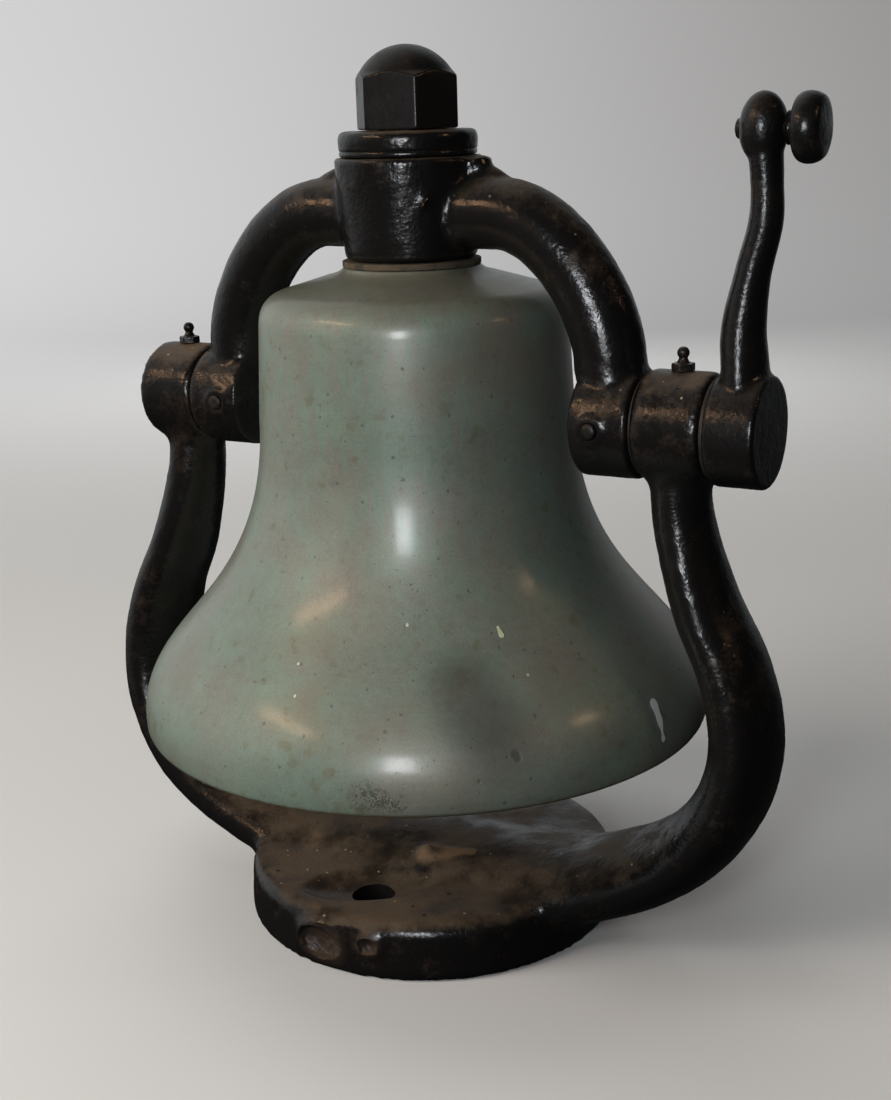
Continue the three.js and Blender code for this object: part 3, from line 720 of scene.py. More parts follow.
    normal = finish.node("TexCoord", {}, {}, "Normal")
    outwards = finish.node("VectorMath", {"operation": "DOT_PRODUCT"},
                           {0: normal, 1: finish.stretched(place, (1, 1, 0))}, "Value")
    below = finish.band(normal_up, -0.5, -0.8)
    inside = finish.band(outwards, 0.0, -2 * MM).most(below * finish.band(height, 20 * MM, 40 * MM))
    dusky = finish.shaded(finish.mix(cloudy, look.inside, (0.05, 0.062, 0.045)), 0.7 + mottled * 0.6)
    colour = finish.mix(inside, colour, dusky)
    white = run.most(drop)
    rough = look.roughness + (mottled - 0.5) * 0.16 + (rings - 0.5) * 0.12 + dark * 0.25 + inside * 0.2
    finish.surface(Base_Color=colour, Roughness=finish.mix_number(white, rough, 0.4),
                   Metallic=0.22 * (1 - white) * (1 - dark * 0.8),
                   Coat_Weight=0.36 * (1 - inside) * (0.75 + mottled * 0.5),
                   Coat_Roughness=0.18, Coat_IOR=1.5)
    finish.bumped((lathe, 0.06 * MM), (rings, 0.012 * MM), (mottled, 0.05 * MM), (fine, 0.05 * MM),
                  (grain, 0.036 * MM), (white - dark, 0.3 * MM))
    return finish.material


def machined_metal(name, colour, stain, roughness, along, metallic=1.0):
    """Turned steel or bronze with tool marks across its axis and a stain of old grease."""
    finish = Finish(name)
    place = finish.place()
    lines = {"X": (900, 12, 12), "Z": (12, 12, 900), "Y": (12, 900, 12)}[along]
    marks = finish.noise(finish.stretched(place, lines), 1.0, 3, 0.7)
    patches = finish.noise(place, 9 * MM, 5, 0.65)
    stained = finish.band(patches, 0.45, 0.68)
    tint = finish.mix(stained * 0.75, colour, stain)
    finish.surface(Base_Color=finish.shaded(tint, 0.75 + marks * 0.5),
                   Roughness=roughness + stained * 0.3 + (marks - 0.5) * 0.2,
                   Metallic=metallic * (1 - stained * 0.5))
    finish.bumped((marks, 0.03 * MM), (patches, 0.1 * MM))
    return finish.material


def forged_iron(name):
    """Hammered iron with scale and dry rust."""
    finish = Finish(name)
    place = finish.place()
    patches = finish.noise(place, 11 * MM, 6, 0.7)
    fine = finish.noise(place, 1.6 * MM, 4, 0.6)
    rusty = finish.band(patches + (fine - 0.5) * 0.4, 0.42, 0.66)
    colour = finish.mix(rusty, (0.045, 0.04, 0.037), (0.14, 0.066, 0.03))
    finish.surface(Base_Color=finish.shaded(colour, 0.7 + fine * 0.6), Roughness=0.5 + rusty * 0.35,
                   Metallic=0.6 * (1 - rusty))
    finish.bumped((patches, 0.8 * MM), (fine, 0.25 * MM))
    return finish.material


def fibre_gasket(name):
    finish = Finish(name)
    place = finish.place()
    layers = finish.noise(finish.stretched(place, (60, 60, 1500)), 1.0, 3, 0.6)
    patches = finish.noise(place, 7 * MM, 4, 0.6)
    colour = finish.mix(finish.band(patches, 0.4, 0.65), (0.06, 0.044, 0.027), (0.028, 0.024, 0.016))
    finish.surface(Base_Color=finish.shaded(colour, 0.6 + layers * 0.8), Roughness=0.75 + patches * 0.15)
    finish.bumped((layers, 0.25 * MM), (patches, 0.3 * MM))
    return finish.material


def plain_floor(name):
    look = bpy.context.scene.bell_stage
    finish = Finish(name)
    place = finish.place()
    cloudy = finish.noise(place, 0.6, 3, 0.5)
    reach = finish.node("VectorMath", {"operation": "LENGTH"}, {0: place}, "Value")
    across = finish.node("VectorMath", {"operation": "DOT_PRODUCT"}, {0: place, 1: (0.87, 0.5, 0)}, "Value")
    # Painted light: the floor and backdrop glow, rising from the middle out to the walls and brighter on the
    # left, as a painted pool of light falling from the left.
    glow = finish.band(reach, 0.7, 3.0) * finish.band(across, -1.6, 2.2, 1.0, 0.15)
    finish.surface(Base_Color=finish.shaded((*look.floor, 1.0), 0.97 + cloudy * 0.06), Roughness=0.8,
                   Emission_Color=finish.shaded((0.8, 0.8, 0.82, 1.0), glow),
                   Emission_Strength=look.wall_glow)
    return finish.material


# ----------------------------------------------------------------------- bell


def bell_outline():
    """From the lip up the outside to the crown and down the inside, in millimetres."""
    top, flare = (crown - lip) / MM, flare_top / MM
    mouth, waist, neck = mouth_radius / MM - 0.1, barrel_radius / MM, neck_radius / MM
    inner_waist, inside, corner = waist - 10.5, top - 18.5, 86.6
    rise = flare - 8.3
    outer_flare = bezier([(mouth, 8.3), (mouth, 8.3 + 0.3 * rise), (waist, flare - 0.625 * rise),
                          (waist, flare)], 44)
    shoulder = bezier([(corner, top - 29.5), (corner - 0.7, top - 14.5), (corner - 15.6, top - 11.4)], 14)
    fillet = bezier([(neck + 10, top - 4.8), (neck + 1.4, top - 3), (neck, top - 0.4)], 8)
    inner_corner = bezier([(52, inside - 3), (corner - 13, inside - 5), (corner - 12, inside - 26)], 10)
    inner_flare = bezier([(inner_waist, flare), (inner_waist, 0.58 * flare), (mouth - 31, 20),
                          (mouth - 15, 5)], 30)
    return [(mouth - 8, 0), (mouth - 3.2, 0), (mouth - 1.2, 1), (mouth - 0.2, 3.4), *outer_flare, *shoulder,
            *fillet, (neck - 0.5, top), (16.4, top), (16.4, inside), (35, inside), *inner_corner,
            *inner_flare, (mouth - 8, 0)]


class BELL_OT_shell(bpy.types.Operator):
    """Turn the bronze bell"""

    bl_idname = "cradle_bell.shell"
    bl_label = "Bell"

    def execute(self, context):
        bell = turned("bell", scaled(bell_outline()), context.scene.bell_patina.steps,
                      location=(0, 0, lip))
        modified(bell, "DISPLACE", texture=clouds("bell_dents", 45 * MM), strength=0.35 * MM,
                 mid_level=0.75, texture_coords="LOCAL")
        smoothed(bell, 50)
        settle(bell, patinated_bronze("bell_patina"), "bell_shell")
        return {"FINISHED"}


class BELL_OT_gasket(bpy.types.Operator):
    """Cut the fibre gasket between the crown and the yoke"""

    bl_idname = "cradle_bell.gasket"
    bl_label = "Gasket"

    def execute(self, context):
        box_low, box_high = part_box("crown_gasket")
        gasket = turned("gasket", ring(centre_hole * MM, box_high.x - 0.2 * MM, box_low.z, box_high.z), 160,
                        bevel=0.5 * MM)
        modified(gasket, "DISPLACE", texture=clouds("gasket_edge", 12 * MM), strength=0.4 * MM,
                 direction="X", mid_level=0.5, texture_coords="LOCAL")
        settle(smoothed(gasket), fibre_gasket("gasket_fibre"), "crown_gasket")
        return {"FINISHED"}


# ----------------------------------------------------------------------- yoke


def yoke_arch():
    """The arch's centre line, from the right boss over the top to the left boss."""
    middle = (yoke_inner + yoke_outer) / 2
    leg, shoulder, springing, rise = middle - 3.9 * MM, 54 * MM, 29 * MM, 108 * MM
    half = [(middle, 0.0), (middle - 2 * MM, 15 * MM)]
    half += bezier([(leg, springing), (leg, springing + 0.42 * (rise - springing)),
                    (shoulder + 0.5 * (leg - shoulder), rise), (shoulder, rise)], 36)
    half += [(shoulder * share, rise) for share in (0.8, 0.6, 0.4, 0.2)]
    right = [(x, trunnion + z) for x, z in half]
    return [*right, (0.0, trunnion + rise), *[(-x, z) for x, z in reversed(right)]]


class BELL_OT_yoke(bpy.types.Operator):
    """Cast the yoke: hub, arch and two bosses in one skin"""

    bl_idname = "cradle_bell.yoke"
    bl_label = "Yoke"

    def execute(self, context):
        line = yoke_arch()
        halves = [(min(16 + max(z - trunnion, 0) / MM * 0.12, 19.2) * MM, 20.3 * MM) for _, z in line]
        arch = oval_bar("arch", line, halves)
        foot, side = 37 * MM, 40.5 * MM
        hub = turned("hub", [
            (0, hub_bottom), (foot - 4 * MM, hub_bottom), (foot - 1.2 * MM, hub_bottom + 1.2 * MM),
            (foot, hub_bottom + 4 * MM), (side, hub_top - 4 * MM), (side + 0.2 * MM, hub_top - 1.6 * MM),
            (side - 1.2 * MM, hub_top), (0, hub_top)], 96)
        bosses = [turned("boss", bar(boss_radius - 0.2 * MM, min(a, b), max(a, b)), 96, "X",
                         trunnion_point, 2 * MM)
                  for a, b in ((yoke_inner, yoke_outer), (-yoke_outer, -yoke_inner))]
        collars = [turned("pin_seat", bar(8.5 * MM, boss_radius - 5 * MM, boss_radius + 0.9 * MM), 32, "Y",
                          (side_x, 0, trunnion), 1 * MM) for side_x in (-taper_pin_x, taper_pin_x)]
        arch_top = trunnion + 127 * MM
        runs = [
            run("hub_ridge", (24.5 * MM, -33.5 * MM, hub_top - 27 * MM),
                (32 * MM, -28 * MM, hub_top - 18 * MM), 1.0 * MM),
            blob("hub_ear", (42 * MM, 1 * MM, hub_top - 3.2 * MM), (8 * MM, 10 * MM, 3.4 * MM)),
            run("hub_web", (38 * MM, 1 * MM, hub_top - 7 * MM), (60 * MM, 1 * MM, arch_top - 6 * MM),
                7 * MM),
            blob("hub_wedge", (43 * MM, 1 * MM, hub_top - 10 * MM), (8 * MM, 9 * MM, 9 * MM)),
            run("left_web", (-38 * MM, 0, hub_top - 9 * MM), (-56 * MM, 0, arch_top - 4 * MM), 6 * MM),
        ]
        yoke = cast("yoke", [arch, hub, *bosses, *collars, *runs], context.scene.bell_casting.yoke_grain,
                    fillet=26)
        tools = [turned("bolt_hole", bar(centre_hole * MM, hub_bottom - 9 * MM, hub_top + 9 * MM), 64)]
        for sign in (-1, 1):
            ends = sorted((sign * (yoke_inner + 3 * MM), sign * (yoke_outer + 5 * MM)))
            tools.append(turned("shaft_hole", bar(shaft_hole_radius, *ends), 64, "X", trunnion_point))
            tools.append(turned("pin_hole", bar(pin_hole_radius, -40 * MM, 40 * MM), 32, "Y",
                                (sign * taper_pin_x, 0, trunnion)))
        booleaned(yoke, joined("yoke_tools", tools))
        settle(smoothed(yoke, 50), enamelled_iron("yoke_enamel", dust=0.75), "yoke_casting")
        return {"FINISHED"}


# ---------------------------------------------------------------------- stand


def stand_arms():
    """Centre line and half sections of the bar that runs from bearing to bearing."""
    thick, deep = 18.1, 34.0
    belly = belly_outer / MM - thick - 0.1
    bearing, axis, mouth_z = bearing_middle / MM, trunnion / MM, lip / MM
    saddle_thick = thick + 2.3
    saddle = saddle_height / MM - saddle_thick
    right = [(bearing, axis), (bearing + 0.5, axis - 45), (belly - 24.5, axis - 93),
             (belly - 7.5, mouth_z + 48), (belly, mouth_z + 12), (belly - 6.5, mouth_z - 24),
             (belly - 29, mouth_z - 57), (belly - 67, saddle + 18), (belly - 120, saddle + 1.5)]
    more = [(-2.2, -15), (-2.7, -13), (-1.7, -6.5), (-0.7, -3.5), (0, 0), (1, 5), (1.8, 10), (2.1, 12),
            (2.3, 13)]
    halves = [(thick + a, deep + b) for a, b in more]
    line = [*right, (0.0, saddle), *[(-x, z) for x, z in reversed(right)]]
    halves = [*halves, (saddle_thick, deep + 13), *reversed(halves)]
    return scaled(spline(line, 133)), scaled(spline(halves, 133))


def foot_edge(angle, out, height):
    """A point on the foot's side, an amount outside its radius."""
    reach = foot_radius + out
    return (reach * math.cos(math.radians(angle)), reach * math.sin(math.radians(angle)), height)


class BELL_OT_stand(bpy.types.Operator):
    """Cast the stand: foot, saddle, two arms and two bearing bosses in one skin"""

    bl_idname = "cradle_bell.stand"
    bl_label = "Stand"

    def execute(self, context):
        arms = oval_bar("arms", *stand_arms(), sides=56)
        rim = foot_radius - 0.3 * MM
        foot = turned("foot", [
            (0, 0), (rim - 1 * MM, 0), (rim, 1.5 * MM), (rim - 1 * MM, foot_height - 10 * MM),
            *arc((rim - 10 * MM, foot_height - 9 * MM), 9 * MM, 0, 90, 9), (0, foot_height)], 160)
        bosses = []
        for sign in (-1, 1):
            middle = sign * bearing_middle
            length = (middle - bearing_half, middle + bearing_half)
            bosses.append(turned("bearing", bar(boss_radius - 0.2 * MM, *length), 96, "X", trunnion_point,
                                 1.5 * MM))
        under = trunnion - boss_radius
        runs = [blob("paint_run", (side_x, front, under - drop), (2.2 * MM, 2.4 * MM, 4.5 * MM))
                for side_x, front, drop in (
                    (-bearing_middle - 13 * MM, -4 * MM, 0.0), (-bearing_middle - 9 * MM, -7 * MM, 1 * MM),
                    (bearing_middle + 15.5 * MM, -10 * MM, 0.0))]
        scabs = [blob("scab", (14.8 * MM, -30 * MM, saddle_height - 3.5 * MM), (6 * MM, 5 * MM, 6 * MM),
                      (10, 0, 20), 3),
                 run("scab_tail", (18 * MM, -28 * MM, saddle_height - 4 * MM),
                     (38 * MM, -20 * MM, saddle_height - 2.5 * MM), 2.4 * MM, 0.8),
                 blob("large_rim", foot_edge(-94.8, -3.2 * MM, 16 * MM), (20 * MM, 5.4 * MM, 14 * MM)),
                 blob("small_rim", foot_edge(-79, -3.6 * MM, 20 * MM), (10 * MM, 5 * MM, 9 * MM),
                      (0, 0, 11))]
        dish_turn, dish_half = 34, (39 * MM, 19.5 * MM, 7 * MM)
        hollows = [
            blob("front_dish", (-4 * MM, -66 * MM, foot_height + 1 * MM), dish_half, (0, 0, dish_turn)),
            blob("rear_dish", (4 * MM, 66 * MM, foot_height + 1 * MM), dish_half, (0, 0, dish_turn)),
            blob("left_nick", foot_edge(-116, 1 * MM, 21 * MM), (4 * MM, 4 * MM, 5 * MM)),
        ]
        stand = cast("stand", [arms, foot, *bosses, *runs, *scabs], context.scene.bell_casting.stand_grain,
                     fillet=34, hollows=hollows)
        tools = []
        for sign in (-1, 1):
            middle = sign * bearing_middle
            tools.append(turned("bush_hole", bar(bush_radius + 0.15 * MM, middle - 30 * MM, middle + 30 * MM),
                                64, "X", trunnion_point))
            tools.append(turned("grease_hole", bar(3.3 * MM, trunnion + 15 * MM, trunnion + 40 * MM), 24,
                                location=(middle, 0, 0)))
            tools.append(turned("bolt_hole", bar(bolt_hole_radius, -5 * MM, 60 * MM), 48,
                                location=(0, sign * bolt_hole_reach, 0)))
        pits = [blob("large_pit", foot_edge(-94.8, 2 * MM, 16 * MM), (15.5 * MM, 8.5 * MM, 10 * MM),
                     (0, 8, -5), 5),
                blob("small_pit", foot_edge(-79, 2 * MM, 20 * MM), (6.5 * MM, 6.5 * MM, 5.6 * MM),
                     (0, 0, 11), 4)]
        for pit in pits:
            modified(pit, "DISPLACE", texture=clouds("pit_walls", 5 * MM), strength=2.2 * MM, mid_level=0.5,
                     texture_coords="LOCAL")
        booleaned(stand, joined("stand_tools", [*tools, *pits]))
        booleaned(stand, turned("underside", bar(foot_radius + 20 * MM, -20 * MM, 0.1 * MM), 64))
        crust = ((15 * MM, -30 * MM, saddle_height - 2 * MM), (38 * MM, -20 * MM, saddle_height - 1 * MM))
        rusted = [(foot_edge(-97, -2 * MM, 15 * MM), foot_edge(-92, -2 * MM, 15 * MM), 10 * MM),
                  (foot_edge(-79.5, -1 * MM, 20 * MM), foot_edge(-78.5, -1 * MM, 20 * MM), 6 * MM)]
        finish = enamelled_iron("stand_enamel", scab=crust, rusted=rusted)
        settle(smoothed(stand, 50), finish, "stand_casting")
        return {"FINISHED"}


class BELL_OT_nipples(bpy.types.Operator):
    """Make both grease nipples: a hexagon, a waist and a ball"""

    bl_idname = "cradle_bell.nipples"
    bl_label = "Grease nipples"

    def execute(self, context):
        finish = enamelled_iron("nipple_enamel", dust=0.3)
        for side in ("left", "right"):
            node = side + "_grease_nipple"
            box_low, box_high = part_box(node)
            middle = (box_low.x + box_high.x) / 2
            seat = trunnion + boss_radius - 0.5 * MM
            tall = 4.2 * MM
            collar = hexagon("hexagon", 6.3 * MM, tall, (middle, 0, seat + tall / 2))
            modified(collar, "BEVEL", width=0.5 * MM, segments=3, limit_method="ANGLE")
            base = seat - box_low.z
            waist = bezier([(3.6, 4.2), (2.0, 6.6), (2.3, 7.2)], 6)
            ball = arc((0, 9.4 * MM), 3.25 * MM, -42, 70, 12)
            stem = turned("stem", [
                (0, 0), (2.9 * MM, 0), (2.9 * MM, base), (3.7 * MM, base + 4 * MM),
                *[(r * MM, base + z * MM) for r, z in waist], *[(r, base + z) for r, z in ball],
                (0, box_high.z - box_low.z)], 48, location=(middle, 0, box_low.z))
            nipple = cast(side + "_nipple", [collar, stem], 0.25 * MM, fillet=4, lumps=0.18, relax=2)
            settle(smoothed(nipple, 60), finish, node)
        return {"FINISHED"}


# --------------------------------------------------------- shafts and bearings


class BELL_OT_bearings(bpy.types.Operator):
    """Turn the bronze bushes, the steel shafts and the washers on the trunnion axis"""

    bl_idname = "cradle_bell.bearings"
    bl_label = "Shafts and bearings"

    def execute(self, context):
        bronze = machined_metal("bush_bronze", BUSH_BRONZE, BUSH_STAIN, 0.32, "X")
        steel = machined_metal("shaft_steel", STEEL, OLD_GREASE, 0.3, "X")
        crank_cap, blind_end = 2.4 * MM, 2.5 * MM
        for side in ("left", "right"):
            bush_low, bush_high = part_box(side + "_bearing_bush")
            sleeve = ring(shaft_radius + 0.25 * MM, bush_radius, bush_low.x, bush_high.x)
            bush = turned(side + "_bush", sleeve, 96, "X", trunnion_point, 0.5 * MM)
            settle(smoothed(bush), bronze, side + "_bearing_bush")
            shaft_low, shaft_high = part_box(side + "_trunnion_shaft")
            shorter = (blind_end, crank_cap) if side == "right" else (0, blind_end)
            ends = (shaft_low.x + shorter[0], shaft_high.x - shorter[1])
            shaft = turned(side + "_shaft", bar(shaft_radius, *ends), 96, "X", trunnion_point, 1.5 * MM)
            middle = taper_pin_x if side == "right" else -taper_pin_x
            booleaned(shaft, turned("pin_hole", bar(pin_hole_radius, -30 * MM, 30 * MM), 32, "Y",
                                    (middle, 0, trunnion)))
            if side == "right":
                key_low, key_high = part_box("crank_key")
                booleaned(shaft, keyway(key_low, key_high))
            settle(smoothed(shaft), steel, side + "_trunnion_shaft")
        # The washers are darkened nearly to black: old grease, and painted shade for the dark gaps where they
        # sit between the bosses and the crank.
        grease_and_gap_shade = machined_metal("greasy_steel", (0.035, 0.03, 0.026), (0.012, 0.009, 0.007), 0.45, "X", 0.6)
        for name in ("left_thrust_washer", "right_thrust_washer", "crank_washer"):
            box_low, box_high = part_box(name)
            disc = ring(shaft_hole_radius, box_high.y, box_low.x, box_high.x)
            washer = turned(name + "_disc", disc, 96, "X", trunnion_point, 0.2 * MM)
            settle(smoothed(washer), grease_and_gap_shade, name)
        return {"FINISHED"}


def keyway(key_low, key_high):
    """A cutting block a little larger than the key."""
    room = Vector((1 * MM, 0.3 * MM, 0.3 * MM))
    return block("keyway", (key_low + key_high) / 2, key_high - key_low + 2 * room)


class BELL_OT_pins(bpy.types.Operator):
    """Make the two taper pins that hold the shafts in the yoke"""

    bl_idname = "cradle_bell.pins"
    bl_label = "Taper pins"

    def execute(self, context):
        finish = enamelled_iron("pin_enamel", dust=0.2, rust=1.3, satin=0.15)
        for side in ("left", "right"):
            node = side + "_taper_pin"
            box_low, box_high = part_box(node)
            half = (box_high.y - box_low.y) / 2
            radius = (box_high.x - box_low.x) / 2
            head = bezier([(radius - 0.9 * MM, half - 2.4 * MM), (radius, half - 2 * MM),
                           (radius, half - 0.8 * MM), (radius - 1.6 * MM, half - 0.2 * MM)], 8)
            outline = [(0, -half), (radius - 1.6 * MM, -half + 0.5 * MM),
                       (radius - 1.4 * MM, -half + 0.7 * MM), *head, (0, half)]
            pin = turned(side + "_pin", outline, 48, "Y", ((box_low.x + box_high.x) / 2, 0, trunnion))
            settle(smoothed(pin), finish, node)
        return {"FINISHED"}


# ---------------------------------------------------------------------- crank


class BELL_OT_crank(bpy.types.Operator):
    """Forge the crank arm and turn its knob"""

    bl_idname = "cradle_bell.crank"
    bl_label = "Crank"

    def execute(self, context):
        middle = (crank_inner + crank_outer) / 2 / MM
        knob_low, knob_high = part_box("crank_knob")
        rise = ((knob_low.z + knob_high.z) / 2 - trunnion) / MM
        head = middle + 6
        line = spline([(middle, 0), (middle - 0.8, 0.2 * rise), (middle - 2, 0.35 * rise),
                       (middle + 2, 0.53 * rise), (head + 1.8, 0.69 * rise), (head + 2.4, 0.82 * rise),
                       (head, rise)], 60)
        halves = spline([(11.5, 21), (11.5, 18), (11, 14.5), (9, 11.5), (8.5, 10), (8, 9.5), (9, 11)], 60)
        arm = oval_bar("arm", [(x * MM, trunnion + z * MM) for x, z in line], scaled(halves))
        boss = turned("crank_boss", bar(boss_radius - 0.2 * MM, crank_inner, crank_outer), 96, "X",
                      trunnion_point, 2 * MM)
        knob_point = (head * MM, 0, trunnion + rise * MM)
        top = blob("crank_head", knob_point, (12 * MM, 13.1 * MM, 17.6 * MM), detail=5)
        crank = cast("crank", [arm, boss, top], context.scene.bell_casting.crank_grain, fillet=40,
                     lumps=0.6)
        blind = crank_outer - 2.6 * MM
        bore = turned("bore", bar(shaft_hole_radius, crank_inner - 5 * MM, blind), 64, "X", trunnion_point)
        key_low, key_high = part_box("crank_key")
        key_high.x = min(key_high.x, blind)
        stud_hole = turned("stud_hole", bar(5.2 * MM, head * MM - 30 * MM, head * MM + 30 * MM), 32, "X",
                           (0, 0, knob_point[2]))
        for tool in (bore, keyway(key_low, key_high - Vector((1 * MM, 0, 0))), stud_hole):
            booleaned(crank, tool)
        settle(smoothed(crank, 50), enamelled_iron("crank_enamel", dust=0.15, satin=0.04), "crank_arm")

        steel = machined_metal("key_steel", STEEL, OLD_GREASE, 0.35, "X")
        key_high.x = blind - 1.2 * MM
        key = block("key", (key_low + key_high) / 2, key_high - key_low)
        modified(key, "BEVEL", width=0.4 * MM, segments=3)
        settle(smoothed(key), steel, "crank_key")

        neck = 12.5
        knob = turned("knob", scaled([
            (0, -13.8), (3.4, -13.7), (4.6, -13.1), (5, -12.6), (5, neck), (8.2, neck), (7.6, neck + 0.9),
            *bezier([(7.1, neck + 1.6), (6.9, neck + 3), (9, neck + 3.6), (13, neck + 3.9)], 8),
            *bezier([(15.4, neck + 5), (17.4, neck + 7.2), (17.6, neck + 11.5), (17, neck + 14),
                     (14.5, neck + 17)], 14),
            *bezier([(12, neck + 17.9), (7, neck + 18.5), (0, neck + 18.6)], 6)]), 96, "X", knob_point)
        modified(knob, "DISPLACE", texture=clouds("knob_dents", 9 * MM), strength=0.5 * MM, mid_level=0.7,
                 texture_coords="LOCAL")
        settle(smoothed(knob, 50), enamelled_iron("knob_enamel", dust=0.2, satin=0.03), "crank_knob")
        return {"FINISHED"}


# --------------------------------------------------------------- top fastening


class BELL_OT_fastening(bpy.types.Operator):
    """Make the collar and the domed nut on top of the yoke"""

    bl_idname = "cradle_bell.fastening"
    bl_label = "Collar and nut"

    def execute(self, context):
        box_low, box_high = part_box("collar_washer")
        radius, tall = (box_high.x - 0.2 * MM) / MM, (box_high.z - box_low.z) / MM
        collar = turned("collar", scaled([
            (centre_hole, 0), (radius - 1.3, 0), (radius - 0.7, 0.6), (radius - 0.6, 2.4),
            (radius - 1.1, 3.0), (radius - 0.6, 3.6),
            *bezier([(radius - 0.5, 5), (radius, 9), (radius, tall - 2.4), (radius - 0.9, tall - 0.1),
                     (radius - 4.5, tall)], 16),
            (centre_hole, tall), (centre_hole, 0)]), 128, location=(0, 0, box_low.z))
        modified(collar, "DISPLACE", texture=clouds("collar_lumps", 9 * MM), strength=0.6 * MM,
                 mid_level=0.75, texture_coords="LOCAL")
        settle(smoothed(collar, 50), enamelled_iron("collar_enamel", dust=0.9, rust=1.2), "collar_washer")

        box_low, box_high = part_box("dome_nut")
        tall = (box_high.z - box_low.z) / MM
        corner = nut_flat / math.cos(math.pi / 6)
        dome_rise, nut_turn = 14.0, 10.6 - 30
        hexagon_top, dome_radius = tall - 14.4, nut_flat - 0.4
        ball = (dome_radius**2 + dome_rise**2) / (2 * dome_rise)
        middle = (0, 0, box_low.z + hexagon_top / 2 * MM)
        nut = hexagon("nut", corner * MM, hexagon_top * MM, middle, nut_turn)
        booleaned(nut, turned("chamfer", scaled([
            (0, 0), (corner - 1.4, 0), (corner + 0.5, 1.2), (corner + 0.5, hexagon_top - 3.2),
            (nut_flat - 0.2, hexagon_top), (0, hexagon_top)]), 128, location=(0, 0, box_low.z)), "INTERSECT")
        dome = turned("dome", scaled([
            (0, hexagon_top - 4), (dome_radius, hexagon_top - 4), (dome_radius, hexagon_top - 0.4),
            *arc((0, tall - 0.1 - ball), ball, math.degrees(math.acos(dome_radius / ball)), 89, 20),
            (0, tall - 0.1)]), 128, location=(0, 0, box_low.z))
        nut = cast("nut", [nut, dome], 0.7 * MM, fillet=1, lumps=0.25, level=0.7, relax=2)
        booleaned(nut, turned("nut_hole", bar(16.4 * MM, -5 * MM, (hexagon_top - 2) * MM), 64,
                              location=(0, 0, box_low.z)))
        finish = enamelled_iron("nut_enamel", dust=0.25, rust=0.8, satin=0.1, peel=0.45)
        settle(smoothed(nut, 50), finish, "dome_nut")
        return {"FINISHED"}


# -------------------------------------------------------------------- clapper


class BELL_OT_clapper_bolt(bpy.types.Operator):
    """Make the centre bolt with its fork, its washer, and the clapper's pins"""

    bl_idname = "cradle_bell.clapper_bolt"
    bl_label = "Centre bolt"

    def execute(self, context):
        iron = forged_iron("bolt_iron")
        steel = machined_metal("pin_steel", STEEL, (0.09, 0.055, 0.035), 0.35, "X")
        washer_low, washer_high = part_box("crown_washer")
        washer = turned("crown_disc", ring(centre_hole * MM, washer_high.x, washer_low.z, washer_high.z), 96,
                        bevel=0.8 * MM)
        settle(smoothed(washer), iron, "crown_washer")

        bolt_high = high("clapper_bolt")
        flange_top = washer_low.z - 0.3 * MM
        flange_bottom = flange_top - 10 * MM
        stem = turned("stem", bar(15.9 * MM, flange_bottom + 2 * MM, bolt_high.z - 0.2 * MM), 64,
                      bevel=1.2 * MM)
        flange = turned("flange", bar(bolt_high.x - 0.3 * MM, flange_bottom, flange_top), 96,
                        bevel=1.5 * MM)
        fork = turned("fork_end", bar(fork_radius, -fork_half, fork_half), 64, "X", clapper_point, 1.5 * MM)
        cheek_top = flange_bottom + 2 * MM
        cheeks = block("fork_block", (0, 0, (clapper_axis + cheek_top) / 2),
                       (2 * fork_half, 2 * fork_radius, cheek_top - clapper_axis))
        bolt = cast("bolt", [stem, flange, fork, cheeks], 0.9 * MM, fillet=12, lumps=0.5, relax=2)
        slot = block("slot", (0, 0, flange_bottom - 20 * MM), (19.2 * MM, 60 * MM, 40 * MM))
        modified(slot, "BEVEL", width=2 * MM, segments=4)
        booleaned(bolt, slot)
        booleaned(bolt, turned("pin_hole", bar(6.2 * MM, -40 * MM, 40 * MM), 48, "X", clapper_point))
        settle(smoothed(bolt, 50), iron, "clapper_bolt")

        pin_low, pin_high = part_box("clapper_pin")
        pin = turned("clapper_pin_rod", [
            (0, pin_low.x), (7.8 * MM, pin_low.x + 0.4 * MM), (9 * MM, pin_low.x + 1.6 * MM),
            (9 * MM, -fork_half - 0.4 * MM), (5.9 * MM, -fork_half - 0.4 * MM),
            (5.9 * MM, pin_high.x - 1.2 * MM), (4.8 * MM, pin_high.x), (0, pin_high.x)], 64, "X",
            clapper_point)
        split_x = fork_half + 4 * MM
        booleaned(pin, turned("split_hole", bar(1.7 * MM, -12 * MM, 12 * MM), 24, "Y",
                              (split_x, 0, clapper_axis)))
        settle(smoothed(pin), steel, "clapper_pin")
        self.split_pin(split_x, steel)
        return {"FINISHED"}

    def split_pin(self, x, steel):
        """One wire bent into an eye at the front, with its two legs spread behind."""
        reach, gap = 11 * MM, 0.62 * MM
        eye = [(gap + 2.4 * MM * math.sin(a), -reach - 2.4 * MM + 2.4 * MM * math.cos(a))
               for a in np.linspace(math.radians(18), math.pi, 9)]
        leg = [(gap, -reach + 2 * MM), (gap, reach - 4 * MM), (gap + 1.6 * MM, reach - 1.4 * MM),
               (gap + 3.8 * MM, reach - 0.4 * MM)]
        upper = [*reversed(leg), *eye]
        path = [*upper, *[(-z, y) for z, y in reversed(upper)]]
        wire = bpy.data.curves.new("split_wire", "CURVE")
        wire.dimensions = "3D"
        wire.bevel_depth = 0.6 * MM
        wire.bevel_resolution = 4
        wire.use_fill_caps = True
        points = wire.splines.new("POLY").points
        points.add(len(path) - 1)
        for point, (z, y) in zip(points, path):
            point.co = (x, y, clapper_axis + z, 1)
        pin = bpy.data.objects.new("split_pin", wire)
        bpy.context.scene.collection.objects.link(pin)
        only(pin)
        bpy.ops.object.convert(target="MESH")
        settle(smoothed(bpy.context.active_object, 60), steel, "clapper_split_pin")


